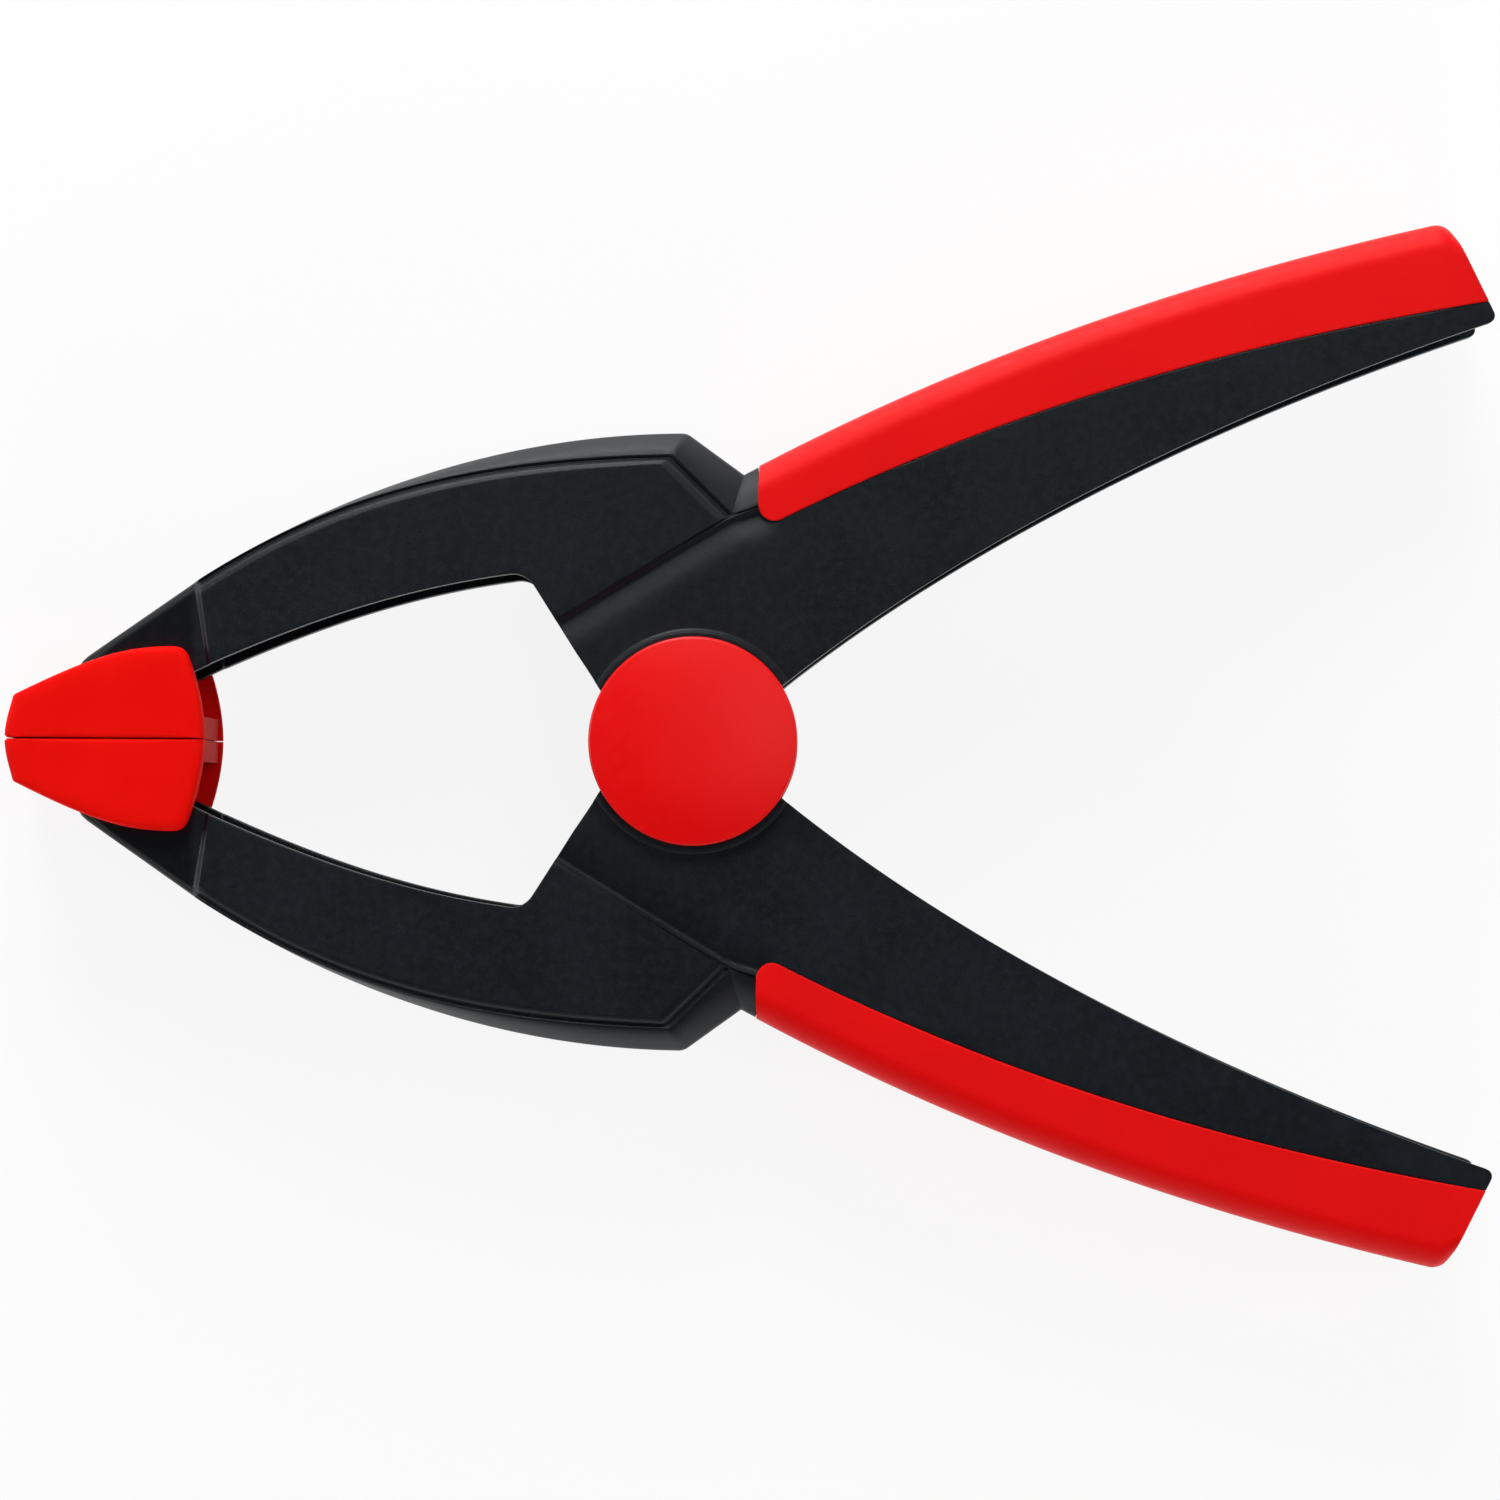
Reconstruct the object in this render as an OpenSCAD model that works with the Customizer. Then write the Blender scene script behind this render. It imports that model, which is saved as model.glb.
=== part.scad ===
// Spring clamp with two moulded arms, swivelling jaw pads and a torsion spring on one pivot pin.
// It lies on its side: +X runs from the pivot to the handle ends, +Y to the upper arm, +Z along the pivot.
// The origin is on the pivot's axis, in the plane that the rear cap rests on.

/* [Jaws] */
// Distance from the pivot to the tips of the pads
jaw_reach = 82.7; // [78:0.1:90]
// Height of the jaw's shoulder above the line between the jaws
shoulder_h = 37.3; // [36:0.1:40]
// Height of the throat's corner above the same line
throat_h = 20.3; // [18:0.1:22]
// Half of the jaw panels' width
jaw_half_w = 10.6; // [10.3:0.1:11.5]
// Half of the nose's width, inside the pad
nose_half_w = 9.6; // [9:0.1:10]
// Depth of the crease along the outside of the jaw panel
crease_d = 0.8; // [0.4:0.1:1.2]
// Depth of the diagonal groove between jaw panel and hub
groove_d = 0.8; // [0.4:0.1:1.2]
// Width of that groove's gentle slope towards the hub
groove_run = 1.8; // [1.2:0.1:2.4]

/* [Handles] */
// Distance from the pivot to the handle's end corner, along X
handle_reach = 90.4; // [86:0.1:100]
// Height of the handle's end corner above the middle line
handle_h = 63.1; // [60:0.1:66]
// Half of the handle's width
handle_half_w = 10.6; // [10.3:0.1:11.5]
// Thickness of the soft grip over the spine
grip_t = 1.8; // [1.2:0.1:2.4]
// Thickness of the soft grip at the handle's end
grip_end_t = 3.0; // [2.6:0.1:3.4]
// How far the soft grip stands out of the side of the handle
grip_proud = 0.15; // [0:0.05:0.4]
// Radius of the grip's soft edge along the spine
grip_round = 3.4; // [2:0.1:4]

/* [Mouldings] */
// Thickness of the arm's spine
spine_t = 3.0; // [2.4:0.1:3.6]
// Thickness of the arm's side walls
wall_t = 2.4; // [1.8:0.1:2.8]
// Thickness of the ribs inside the arms
rib_t = 1.8; // [1.2:0.1:2.4]

/* [Pivot] */
// Radius of the pivot pin
pin_r = 3.0; // [2:0.1:3.2]
// Running clearance of the pin in the ears, on the radius
pin_fit = 0.05; // [0.02:0.01:0.1]
// Radius of the arms' ears
ear_r = 12.0; // [11:0.1:12.2]
// Thickness of the outer ears
outer_ear_t = 3.0; // [2.4:0.1:3.4]
// Thickness of the inner ears
inner_ear_t = 2.2; // [1.8:0.1:2.3]
// Gap between neighbouring ears
ear_gap = 0.15; // [0.1:0.05:0.25]
// Height of the round boss over the side of the hub
boss_h = 0.7; // [0.4:0.1:1.2]
// Radius of the pivot caps
cap_r = 12.54; // [12.4:0.01:13]
// Thickness of the pivot caps
cap_t = 2.6; // [2.3:0.1:3.5]
// Radius of the flat field in the middle of a cap
cap_flat_r = 5.0; // [4:0.1:9]
// Height of the cap's rim
cap_rim_h = 1.2; // [0.8:0.1:1.6]

/* [Spring] */
// Wire thickness
wire_d = 2.4; // [1.8:0.1:2.4]
// Mean radius of the coil
coil_r = 7.2; // [7:0.1:7.8]
// Clear gap between neighbouring turns
turn_gap = 0.45; // [0.42:0.01:0.46]

/* [Pads] */
// Length of a pad
pad_len = 24.0; // [23:0.1:26]
// Half of a pad's width over its cheeks
pad_half_w = 12.5; // [12:0.1:13.5]
// Height of a pad above its gripping face
pad_h = 11.1; // [10.6:0.1:12]
// Height of the pads' swivel over the plane where they meet
pad_pivot_h = 6.6; // [6.2:0.1:7]
// Thickness of the pad under the nose
pad_base_t = 2.7; // [2.4:0.1:3]
// Radius of the studs that the pads turn on
stud_r = 2.4; // [1.8:0.1:2.8]
// Clearance between pad and nose, on each side
pad_fit = 0.25; // [0.15:0.05:0.35]

/* [Hidden] */
$fn = 64;

black = "#22282c";
red = "#e3201b";
orange_red = "#ff3a25";
steel = "#b8bcc0";

function unit(v) = v / norm(v);
function turned(a) = [cos(a), sin(a)];
function left_of(v) = [-v.y, v.x];
function mix(a, b, t) = a + (b - a) * t;
function bezier(p, t) =
    pow(1 - t, 3) * p[0] + 3 * t * pow(1 - t, 2) * p[1] + 3 * t * t * (1 - t) * p[2] + t * t * t * p[3];
function slope(p, t) =
    unit(pow(1 - t, 2) * (p[1] - p[0]) + 2 * t * (1 - t) * (p[2] - p[1]) + t * t * (p[3] - p[2]));
// Control points of a curve that leaves a at angle_a and reaches b at angle_b, with pulls of the given lengths
function sweep(a, angle_a, pull_a, b, angle_b, pull_b) =
    [a, a + pull_a * turned(angle_a), b - pull_b * turned(angle_b), b];
function samples(p, n, from = 0, to = 1) = [for (i = [0:n]) bezier(p, from + (to - from) * i / n)];
// Points on the arc of radius r that rounds the corner c between a and b
function fillet(a, c, b, r, n) =
    let (ua = unit(a - c), ub = unit(b - c), half = acos(ua * ub) / 2,
         mid = c + unit(ua + ub) * r / sin(half),
         start = c + ua * r / tan(half) - mid, end = c + ub * r / tan(half) - mid,
         a0 = atan2(start.y, start.x), turn = atan2(start.x * end.y - start.y * end.x, start * end))
    [for (i = [0:n]) mid + r * turned(a0 + turn * i / n)];

// Outline of the upper arm

pad_pivot = [-(jaw_reach - pad_len / 2), pad_pivot_h];
nose_round = 3.6;
nose_mid = pad_pivot + [-0.2, 0.4];
nose_out_a = 35;
nose_in_a = 26;
step_out = [-jaw_reach + 22.7, 19.0];
step_in = [-jaw_reach + 24.4, 9.0];
shoulder = [-1.0, shoulder_h];
valley = [5.9, 32.3];
throat_corner = [-20.3, throat_h];
throat_a = -57.6;
diagonal_a = 31;
handle_root = [11.0, 7.0];
grip_start = 7.7;
handle_end = [handle_reach, handle_h];
end_a = -63.7;
tip_out = handle_end + 10.9 * turned(end_a);
tip_in = handle_end + 13.4 * turned(end_a);

jaw_back = sweep(step_out, 33, 20.6, shoulder - [1.6, 0.03], 1, 20.6);
jaw_throat = sweep(step_in, 24, 12.9, throat_corner - 2.4 * turned(9), 8, 12.9);
crease_line = sweep(step_out + [0.4, -0.55], 33.5, 21, shoulder + [-2.9, -3.3], 2, 21);
spine_line = sweep(valley + [0.1, 0.1], 28.3, 30, handle_end, 12.5, 30);
grip_corner = [grip_start, 25.35];
groove_end = [grip_start - 0.4, 27.9];
grip_line = sweep(grip_corner + 3.25 * turned(26.5), 26.5, 30, tip_out, 9.5, 30);
handle_inner = sweep(handle_root, 38.6, 29.2, tip_in, 18.7, 32.2);

diagonal_in = throat_corner + 6.7 * turned(throat_a);
crease_corner = shoulder + [-2.2, -3.3];
crease_end = [3.9, 27.1];
ear_in_left = [-10.2, 4.6];

// The spring's legs bear under the spines, and its coil sets the hub's width
leg_share = 0.42;
leg_end = spine_core(leg_share, grip_t + spine_t + wire_d / 2 + 0.1);
leg_a = atan2(leg_end.y, leg_end.x) + acos(coil_r / norm(leg_end));
coil_turns = 3 + (360 - 2 * leg_a) / 360;
coil_h = coil_turns * (wire_d + turn_gap);

// Half widths in Z
hub_core_half_w = ceil(5 * (coil_h + wire_d)) / 10 + 0.05;
outer_ear_z = hub_core_half_w + inner_ear_t + ear_gap;
ear_top_z = outer_ear_z + outer_ear_t;
hub_half_w = ear_top_z - boss_h;
cap_seat_z = ear_top_z + 0.1;
half_stack = cap_seat_z + cap_t;
ear_clear_r = ear_r + 0.3;
spine_half_w = 7.0;
nose_wall_t = 2.0;
nose_cavity = [1, 1] * (nose_half_w - nose_wall_t);
hub_cavity = [1, 1] * hub_core_half_w;
// How far the recess under the grip and the spine under it are narrower than the handle
recess_d = 1.4;
core_d = 2.6;
handle_cavity = [handle_half_w - core_d - 1.6, handle_half_w - wall_t];

// A station is [outer point, panel edge, inner point, spine half width, panel half width,
//               drop at the panel edge, cavity half widths at spine and lip, run of the step at the panel edge]
nose_stations = [for (a = [25, 55, 85])
    let (o = nose_mid + nose_round * turned(210 - a), i = nose_mid + nose_round * turned(210 + a))
    [o, mix(o, i, 0.12), i, nose_half_w - 0.8, nose_half_w, 0.05, nose_cavity, 0.1]];
nose_end = let (o = step_out - 0.25 * turned(nose_out_a), i = step_in - 0.25 * turned(nose_in_a))
    [[o, mix(o, i, 0.08), i, nose_half_w - 0.8, nose_half_w, 0.05, nose_cavity, 0.1]];

jaw_n = 16;
jaw_outer = concat(samples(jaw_back, 12), fillet(jaw_back[3], shoulder, valley, 2, 2), [valley]);
jaw_crease = concat(samples(crease_line, 12), fillet(crease_line[3], crease_corner, crease_end, 0.8, 2),
                    [crease_end]);
jaw_inner = concat(samples(jaw_throat, 11), fillet(jaw_throat[3], throat_corner, diagonal_in, 3, 3),
                   [diagonal_in]);
jaw_core_half_w = jaw_half_w - wall_t;
function jaw_cavity(k) = [1, 1] * mix(jaw_core_half_w, hub_core_half_w, max(0, (k - 12) / (jaw_n - 12)));
jaw_stations = [for (k = [0:jaw_n])
    [jaw_outer[k], jaw_crease[k], jaw_inner[k], mix(jaw_half_w - 1.6, spine_half_w, min(1, k / 6)), jaw_half_w,
     crease_d, jaw_cavity(k), 0.5]];

across = -left_of(turned(diagonal_a));
groove_start = crease_end + 0.35 * across;
function groove_at(share) = mix(groove_start, groove_end, share);
// The hub's side rises from the groove to its full width over the groove's run
function hub_station(o, v, i) =
    let (rise = groove_run / max(groove_run, (i - diagonal_in) * across))
    [o, v, i, spine_half_w, hub_half_w, groove_d, hub_cavity, min(0.9, rise) * norm(i - v)];
hub_stations = [
    [valley + [0.1, 0.05], groove_start, diagonal_in + 0.35 * turned(throat_a), spine_half_w,
     hub_half_w - groove_d, crease_d / 4, hub_cavity, 0.4],
    hub_station(valley + [0.3, 0.15], groove_at(0.2), diagonal_in + 2 * turned(throat_a)),
    hub_station(valley + [0.6, 0.3], groove_at(0.4), mix(diagonal_in, ear_in_left, 0.6)),
    hub_station(valley + [1.0, 0.5], groove_at(0.6), ear_in_left),
    hub_station(valley + [1.4, 0.7], groove_at(0.8), [-3, 4.0]),
    hub_station([grip_start - 0.05, 33.2], groove_end, [2.3, 4.1])];

// Where the grip starts, the spine drops by the grip's thickness and the sides by the recess
function recess_station(o, v, i, w, cavity) = [o, v, i, w - core_d, w, recess_d, cavity, 0.05];
front_n = 3;
front_round = fillet(grip_corner + [0, 6], grip_corner, grip_line[0], 1.9, front_n);
spine_front = 33.2 - grip_t / cos(28.3);
function front_core(k) = [grip_start + 0.45 * k, spine_front + 0.24 * k];
front_inner = [[5.2, 4.6], [6.8, 4.9], [8.2, 5.2], [9.4, 5.6]];
front_stations = [for (k = [0:front_n])
    recess_station(front_core(k), front_round[k], front_inner[k], hub_half_w, hub_cavity)];

handle_n = 16;
spine_from = 0.035;
function spine_at(k) = spine_from + (1 - spine_from) * k / handle_n;
function spine_inward(t) = -left_of(slope(spine_line, t));
function grip_inward(t) = t < 1 ? spine_inward(t) : turned(end_a) / abs(turned(end_a) * spine_inward(1));
function spine_core(t, depth) = bezier(spine_line, t) + depth * grip_inward(t);
function handle_core(k) = spine_core(spine_at(k), k < handle_n ? grip_t : grip_end_t);
function handle_edge(k) = bezier(grip_line, k / handle_n);
function handle_w(k) = mix(hub_half_w, handle_half_w, min(1, k / 4));
handle_stations = [for (k = [0:handle_n])
    recess_station(handle_core(k), handle_edge(k), bezier(handle_inner, k / handle_n), handle_w(k),
                   mix(hub_cavity, handle_cavity, min(1, k / 4)))];

arm_stations = concat(nose_stations, nose_end, jaw_stations, hub_stations, front_stations, handle_stations);

function lift(p, z) = [p.x, p.y, z];
function core_of(s) = s[0] + min(spine_t, norm(s[2] - s[0]) / 2) * unit(s[2] - s[0]);
function cavity_at(s, share) = mix(s[6][0], s[6][1], min(1, 2 * share));
// Cross-section of the arm at a station, from the inner lip over the spine to the other lip and back inside
function arm_ring(s) =
    let (o = s[0], v = s[1], i = s[2], w = s[4], lip = 0.4,
         in = unit(i - v), core = core_of(s),
         outer = [lift(o, s[3]), lift(v, w - s[5]), lift(v + s[7] * in, w), lift(i - lip * in, w), lift(i, w - lip)],
         inner = [for (j = [0:4]) lift(mix(core, i, j / 4), cavity_at(s, j / 4))],
         n = 4)
    concat([for (j = [n:-1:0]) lift(outer[j], -outer[j].z)], outer,
           [for (j = [n:-1:0]) inner[j]], [for (j = [0:n]) lift(inner[j], -inner[j].z)]);

// Skin over rings of equal length; each end is closed between the ring's outer half and its inner half
module skin(rings) {
    m = len(rings[0]);
    last = len(rings) - 1;
    half = m / 2;
    sides = [for (k = [0:last - 1], j = [0:m - 1])
        let (a = k * m + j, b = k * m + (j + 1) % m)
        each [[a, a + m, b], [b, a + m, b + m]]];
    ends = [for (j = [0:half - 2])
        let (a = j, b = j + 1, c = m - 1 - j, d = m - 2 - j, e = last * m)
        each [[a, b, c], [b, d, c], [e + a, e + c, e + b], [e + b, e + c, e + d]]];
    polyhedron([for (r = rings) each r], concat(sides, ends));
}

// A rib across the channel at a station, from the spine to the given share of the channel's depth
module rib(s, depth) {
    down = unit(s[2] - s[0]);
    core_d = norm(core_of(s) - s[0]);
    channel_d = norm(s[2] - s[0]) - core_d;
    bite = 0.6;
    edge = [for (f = [0, 0.5, depth]) [core_d + f * channel_d, cavity_at(s, f) + bite]];
    top = [core_d - bite, s[6][0] - bite];
    translate([s[0].x, s[0].y, 0]) rotate([90, 0, atan2(down.y, down.x)]) translate([0, 0, -rib_t / 2])
        linear_extrude(rib_t)
            polygon(concat([top], edge, [for (k = [2:-1:0]) [edge[k].x, -edge[k].y]], [[top.x, -top.y]]));
}

// The part of the XY plane that the arm takes near the hub
module hub_sector() {
    polygon([throat_corner + 12.6 * turned(throat_a), ear_in_left, [9.4, 5.6], handle_root,
             handle_root + 8 * turned(38.6), [10, 22], [-12, 22]]);
}

module boss(from_z, top_z) {
    intersection() {
        translate([0, 0, from_z]) cylinder(h = top_z - from_z, r1 = cap_r + 1, r2 = cap_r + 0.15);
        translate([0, 0, from_z - 1]) linear_extrude(top_z - from_z + 2) hub_sector();
    }
}

module both_sides() {
    children();
    mirror([0, 0, 1]) children();
}

module arm_moulding() {
    difference() {
        union() {
            skin([for (s = arm_stations) arm_ring(s)]);
            both_sides() boss(hub_half_w - 0.5, ear_top_z);
            translate([0, 0, outer_ear_z]) cylinder(h = ear_top_z - outer_ear_z, r = ear_r);
            translate([0, 0, -hub_core_half_w - inner_ear_t]) cylinder(h = inner_ear_t, r = ear_r);
            translate([pad_pivot.x, pad_pivot.y, -nose_half_w - 1.7]) cylinder(h = 2.2, r = stud_r);
            translate([pad_pivot.x, pad_pivot.y, nose_half_w - 0.5]) cylinder(h = 2.2, r = stud_r);
            rib(jaw_stations[1], 0.8);
            rib(jaw_stations[6], 0.8);
            rib(jaw_stations[10], 0.7);
            rib(handle_stations[8], 0.75);
            rib(handle_stations[12], 0.8);
            rib(handle_stations[15], 0.9);
        }
        // room for the other arm's inner ear in front and its outer ear behind
        translate([0, 0, hub_core_half_w - 1]) cylinder(h = inner_ear_t + 1 + ear_gap, r = ear_clear_r);
        translate([0, 0, -ear_top_z - 1]) cylinder(h = ear_top_z + 1 - hub_core_half_w - inner_ear_t, r = ear_clear_r);
        translate([0, 0, -ear_top_z - 1]) cylinder(h = 2 * ear_top_z + 2, r = pin_r + pin_fit);
    }
}

// Cross-section of the soft grip from its outer point o over the arm's core point to its lower edge g
function grip_ring(o, core, g, w) =
    let (n = unit(core - o), top = w + grip_proud, r = grip_round, gap = 0.03, in = core - gap * n,
         outer = concat([for (a = [0:22.5:90]) lift(o + n * r * (1 - cos(a)), top - r + r * sin(a))],
                        [lift(g, top)]),
         inner = [for (j = [0:5]) lift(mix(in, g, j / 5), w - mix(core_d, recess_d, min(1, j / 5)) + gap)],
         n5 = 5)
    concat([for (j = [n5:-1:0]) lift(outer[j], -outer[j].z)], outer,
           [for (j = [n5:-1:0]) inner[j]], [for (j = [0:n5]) lift(inner[j], -inner[j].z)]);

grip_end_r = 2.2;
front_t = (grip_start + 0.05 - spine_line[0].x) / (3 * (spine_line[1].x - spine_line[0].x));
end_from = bezier(spine_line, spine_at(handle_n - 1));
end_round = fillet(end_from, handle_end, tip_out, grip_end_r, 3);
round_from = 1 - norm(end_round[0] - handle_end) / norm(end_from - handle_end);

module grip_moulding() {
    front = [for (k = [0:front_n])
        grip_ring(bezier(spine_line, mix(front_t, spine_from, k / (front_n + 1))), front_core(k), front_round[k],
                  hub_half_w)];
    middle = [for (k = [0:handle_n - 1])
        grip_ring(bezier(spine_line, spine_at(k)), handle_core(k), handle_edge(k), handle_w(k))];
    end = [for (k = [0:3])
        let (s = mix(round_from, 1, k / 3))
        grip_ring(end_round[k], mix(handle_core(handle_n - 1), handle_core(handle_n), s),
                  mix(handle_edge(handle_n - 1), handle_edge(handle_n), s), handle_half_w)];
    skin(concat(front, middle, end));
}

// Side view of a pad, round its outline from the tip
pad_tip = -jaw_reach;
pad_rear = -jaw_reach + pad_len;
pad_face_y = 0.05;
pad_front = sweep([pad_tip, pad_face_y + 0.3], 87, 0.135 * pad_h, [pad_tip + 0.8, 0.387 * pad_h], 74, 0.117 * pad_h);
pad_back = sweep([pad_tip + 2.0, 0.511 * pad_h], 26.3, 0.42 * pad_len, [pad_rear - 4.4, pad_h], 1.5, 0.21 * pad_len);
pad_heel = sweep([pad_rear - 1.95, 0.883 * pad_h], -69, 0.29 * pad_h, [pad_rear, pad_face_y], -90, 0.29 * pad_h);
pad_outline = concat([[pad_tip + 0.3, pad_face_y]], samples(pad_front, 3),
                     fillet(pad_front[3], [pad_tip + 1.04, 0.468 * pad_h], pad_back[0], 0.7, 2), samples(pad_back, 8),
                     fillet(pad_back[3], [pad_rear - 2.45, pad_h], pad_heel[0], 1.8, 3), samples(pad_heel, 5));
pad_middle = [pad_tip + 0.53 * pad_len, 0.42 * pad_h];
pad_crown = [[0.55, 0], [0.93, 0.25], [0.975, 0.6], [1, 1.5]];
// The cheek's outline drawn in to the given share, less so near the gripping face
function crowned(p, share) =
    let (up = mix(1, share, 0.2 + 0.8 * min(1, p.y / 3)))
    [mix(pad_middle.x, p.x, share), mix(pad_middle.y, p.y, up)];

module pad_block() {
    m = len(pad_outline);
    rings = concat([for (c = pad_crown) [c[0], -pad_half_w + c[1]]],
                   [for (k = [3:-1:0]) [pad_crown[k][0], pad_half_w - pad_crown[k][1]]]);
    last = len(rings) - 1;
    points = concat([for (r = rings) each [for (p = pad_outline) lift(crowned(p, r[0]), r[1])]],
                    [lift(pad_middle, -pad_half_w), lift(pad_middle, pad_half_w)]);
    sides = [for (k = [0:last - 1], j = [0:m - 1])
        let (a = k * m + j, b = k * m + (j + 1) % m)
        each [[a, b, a + m], [b, b + m, a + m]]];
    ends = [for (j = [0:m - 1])
        let (k = (j + 1) % m, e = last * m, c = len(points) - 2)
        each [[c, k, j], [c + 1, e + j, e + k]]];
    polyhedron(points, concat(sides, ends));
}

module pad_moulding() {
    pocket_half_w = nose_half_w + pad_fit;
    pocket_front = pad_pivot.x - 5.2;
    difference() {
        pad_block();
        translate([0, 0, -pocket_half_w]) linear_extrude(2 * pocket_half_w)
            polygon([[pocket_front, pad_base_t + 1.5], [pocket_front + 1.5, pad_base_t], [pad_rear - 0.5, pad_base_t],
                     [pad_rear - 0.5, -1], [pad_rear + 5, -1], [pad_rear + 5, pad_h + 5],
                     [pocket_front, pad_h + 5]]);
        translate([pad_pivot.x, pad_pivot.y, -nose_half_w - 1.9])
            cylinder(h = 2 * nose_half_w + 3.8, r = stud_r + 0.1);
        for (k = [0:6])
            translate([pad_tip + 3.4 + 2.6 * k, -1, -pad_half_w + 2.4]) cube([1.1, 1.45, 2 * pad_half_w - 4.8]);
    }
}

// Path of the spring's wire: lower leg, coil, upper leg
curl_steps = ceil(coil_turns * 8);
function coil_point(k) =
    let (s = k / curl_steps, a = -leg_a - 360 * coil_turns * s) lift(coil_r * turned(a), coil_h * (s - 0.5));
wire_path = concat([lift([leg_end.x, -leg_end.y], -coil_h / 2)], [for (k = [0:curl_steps]) coil_point(k)],
                   [lift(leg_end, coil_h / 2)]);
turn_steps = round(curl_steps / coil_turns);
echo(least_gap_between_turns = min([for (a = [1:curl_steps + 1 - turn_steps], b = [a + turn_steps - 2:curl_steps + 1])
    norm(wire_path[a] - wire_path[b])]) - wire_d);

module wire(path, r) {
    last = len(path) - 1;
    rings = [for (k = [0:last])
        let (along = unit(path[min(k + 1, last)] - path[max(k - 1, 0)]), side = unit(cross([0, 0, 1], along)),
             up = cross(along, side))
        [for (j = [0:5]) path[k] + r * (side * cos(60 * j) + up * sin(60 * j))]];
    points = [for (ring = rings) each ring];
    sides = [for (k = [0:last - 1], j = [0:5])
        let (a = k * 6 + j, b = k * 6 + (j + 1) % 6)
        each [[a, a + 6, b], [b, a + 6, b + 6]]];
    ends = [for (j = [1:4]) each [[0, j, j + 1], [last * 6, last * 6 + j + 1, last * 6 + j]]];
    polyhedron(points, concat(sides, ends));
}

head_r = 5.5;
head_t = 1.1;
tail_z = ear_top_z + 1.5;

// A pivot cap, domed round a flat field, with a round pocket for the pin's head
module cap_moulding() {
    head_pocket_r = head_r + 0.4;
    pocket_top = cap_t - 0.9;
    rim_round = 0.4;
    dome_drop = cap_t - cap_rim_h - rim_round;
    rim = [for (a = [0:30:90]) [cap_r - rim_round + rim_round * cos(a), cap_rim_h + rim_round * sin(a)]];
    dome = [for (k = [1:6]) let (s = 1 - k / 6)
        [mix(cap_flat_r, cap_r - rim_round, s), cap_t - dome_drop * s * s]];
    rotate_extrude($fn = 96)
        polygon(concat([[0, pocket_top], [head_pocket_r, pocket_top], [head_pocket_r, 0], [cap_r, 0]], rim, dome,
                       [[0, cap_t]]));
}

module seat() {
    translate([0, 0, half_stack]) children();
}

module turned_over() {
    rotate([180, 0, 0]) children();
}

module upper_arm() { color(black) seat() arm_moulding(); }

module lower_arm() { color(black) seat() turned_over() arm_moulding(); }

module upper_grip() { color(red) seat() grip_moulding(); }

module lower_grip() { color(red) seat() turned_over() grip_moulding(); }

module upper_pad() { color(orange_red) seat() pad_moulding(); }

module lower_pad() { color(orange_red) seat() turned_over() pad_moulding(); }

module torsion_spring() { color(steel) seat() wire(wire_path, wire_d / 2); }

module spring_sleeve() {
    sleeve_half_l = hub_core_half_w - 0.1;
    color("dimgray") seat() translate([0, 0, -sleeve_half_l]) difference() {
        cylinder(h = 2 * sleeve_half_l, r = coil_r - wire_d / 2 - 0.7);
        translate([0, 0, -1]) cylinder(h = 2 * sleeve_half_l + 2, r = pin_r + 0.1);
    }
}

module pivot_pin() {
    color(steel) seat() {
        translate([0, 0, -tail_z]) cylinder(h = tail_z + ear_top_z + 0.1, r = pin_r);
        translate([0, 0, ear_top_z + 0.05]) cylinder(h = head_t, r = head_r);
    }
}

module pin_retainer() {
    color(steel) seat() translate([0, 0, -ear_top_z - 0.05 - 0.8]) difference() {
        cylinder(h = 0.8, r = head_r);
        translate([0, 0, -1]) cylinder(h = 2.8, r = pin_r + 0.01);
    }
}

module front_cap() { color(red) seat() translate([0, 0, cap_seat_z]) cap_moulding(); }

module rear_cap() { color(red) seat() turned_over() translate([0, 0, cap_seat_z]) cap_moulding(); }

upper_arm();
lower_arm();
upper_grip();
lower_grip();
upper_pad();
lower_pad();
torsion_spring();
spring_sleeve();
pivot_pin();
pin_retainer();
front_cap();
rear_cap();
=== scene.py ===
"""Looks of the spring clamp: fine meshes for the moulded pieces, materials, floor, lights and camera.

Lengths are in millimetres about the clamp's mid-plane until a piece is placed, which turns them into metres.
Textures, the floor, the lights and the camera are in metres.
"""

import math

import bmesh
import bpy
import numpy as np
from mathutils import Matrix, Vector


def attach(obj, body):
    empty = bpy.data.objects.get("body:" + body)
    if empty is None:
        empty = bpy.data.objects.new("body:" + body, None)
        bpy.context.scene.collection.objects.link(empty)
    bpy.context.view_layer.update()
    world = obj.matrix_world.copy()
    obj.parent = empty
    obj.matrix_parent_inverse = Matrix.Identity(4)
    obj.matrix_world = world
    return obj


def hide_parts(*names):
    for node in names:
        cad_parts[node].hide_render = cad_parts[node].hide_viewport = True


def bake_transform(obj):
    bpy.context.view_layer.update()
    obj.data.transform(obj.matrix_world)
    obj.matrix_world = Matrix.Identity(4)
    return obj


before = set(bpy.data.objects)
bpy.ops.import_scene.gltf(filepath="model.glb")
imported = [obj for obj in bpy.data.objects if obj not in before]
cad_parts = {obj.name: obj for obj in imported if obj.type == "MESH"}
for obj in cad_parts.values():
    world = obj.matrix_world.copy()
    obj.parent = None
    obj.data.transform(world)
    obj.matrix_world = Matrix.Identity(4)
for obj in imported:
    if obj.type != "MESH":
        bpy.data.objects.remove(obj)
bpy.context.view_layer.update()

MM = 0.001
HALF_STACK = 14.0
WELD = 1e-5
SHARP_ANGLE = 28.0
LARGE_FACE_WEIGHT = 80
scene = bpy.context.scene


# ---------------------------------------------------------------- plane geometry

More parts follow.
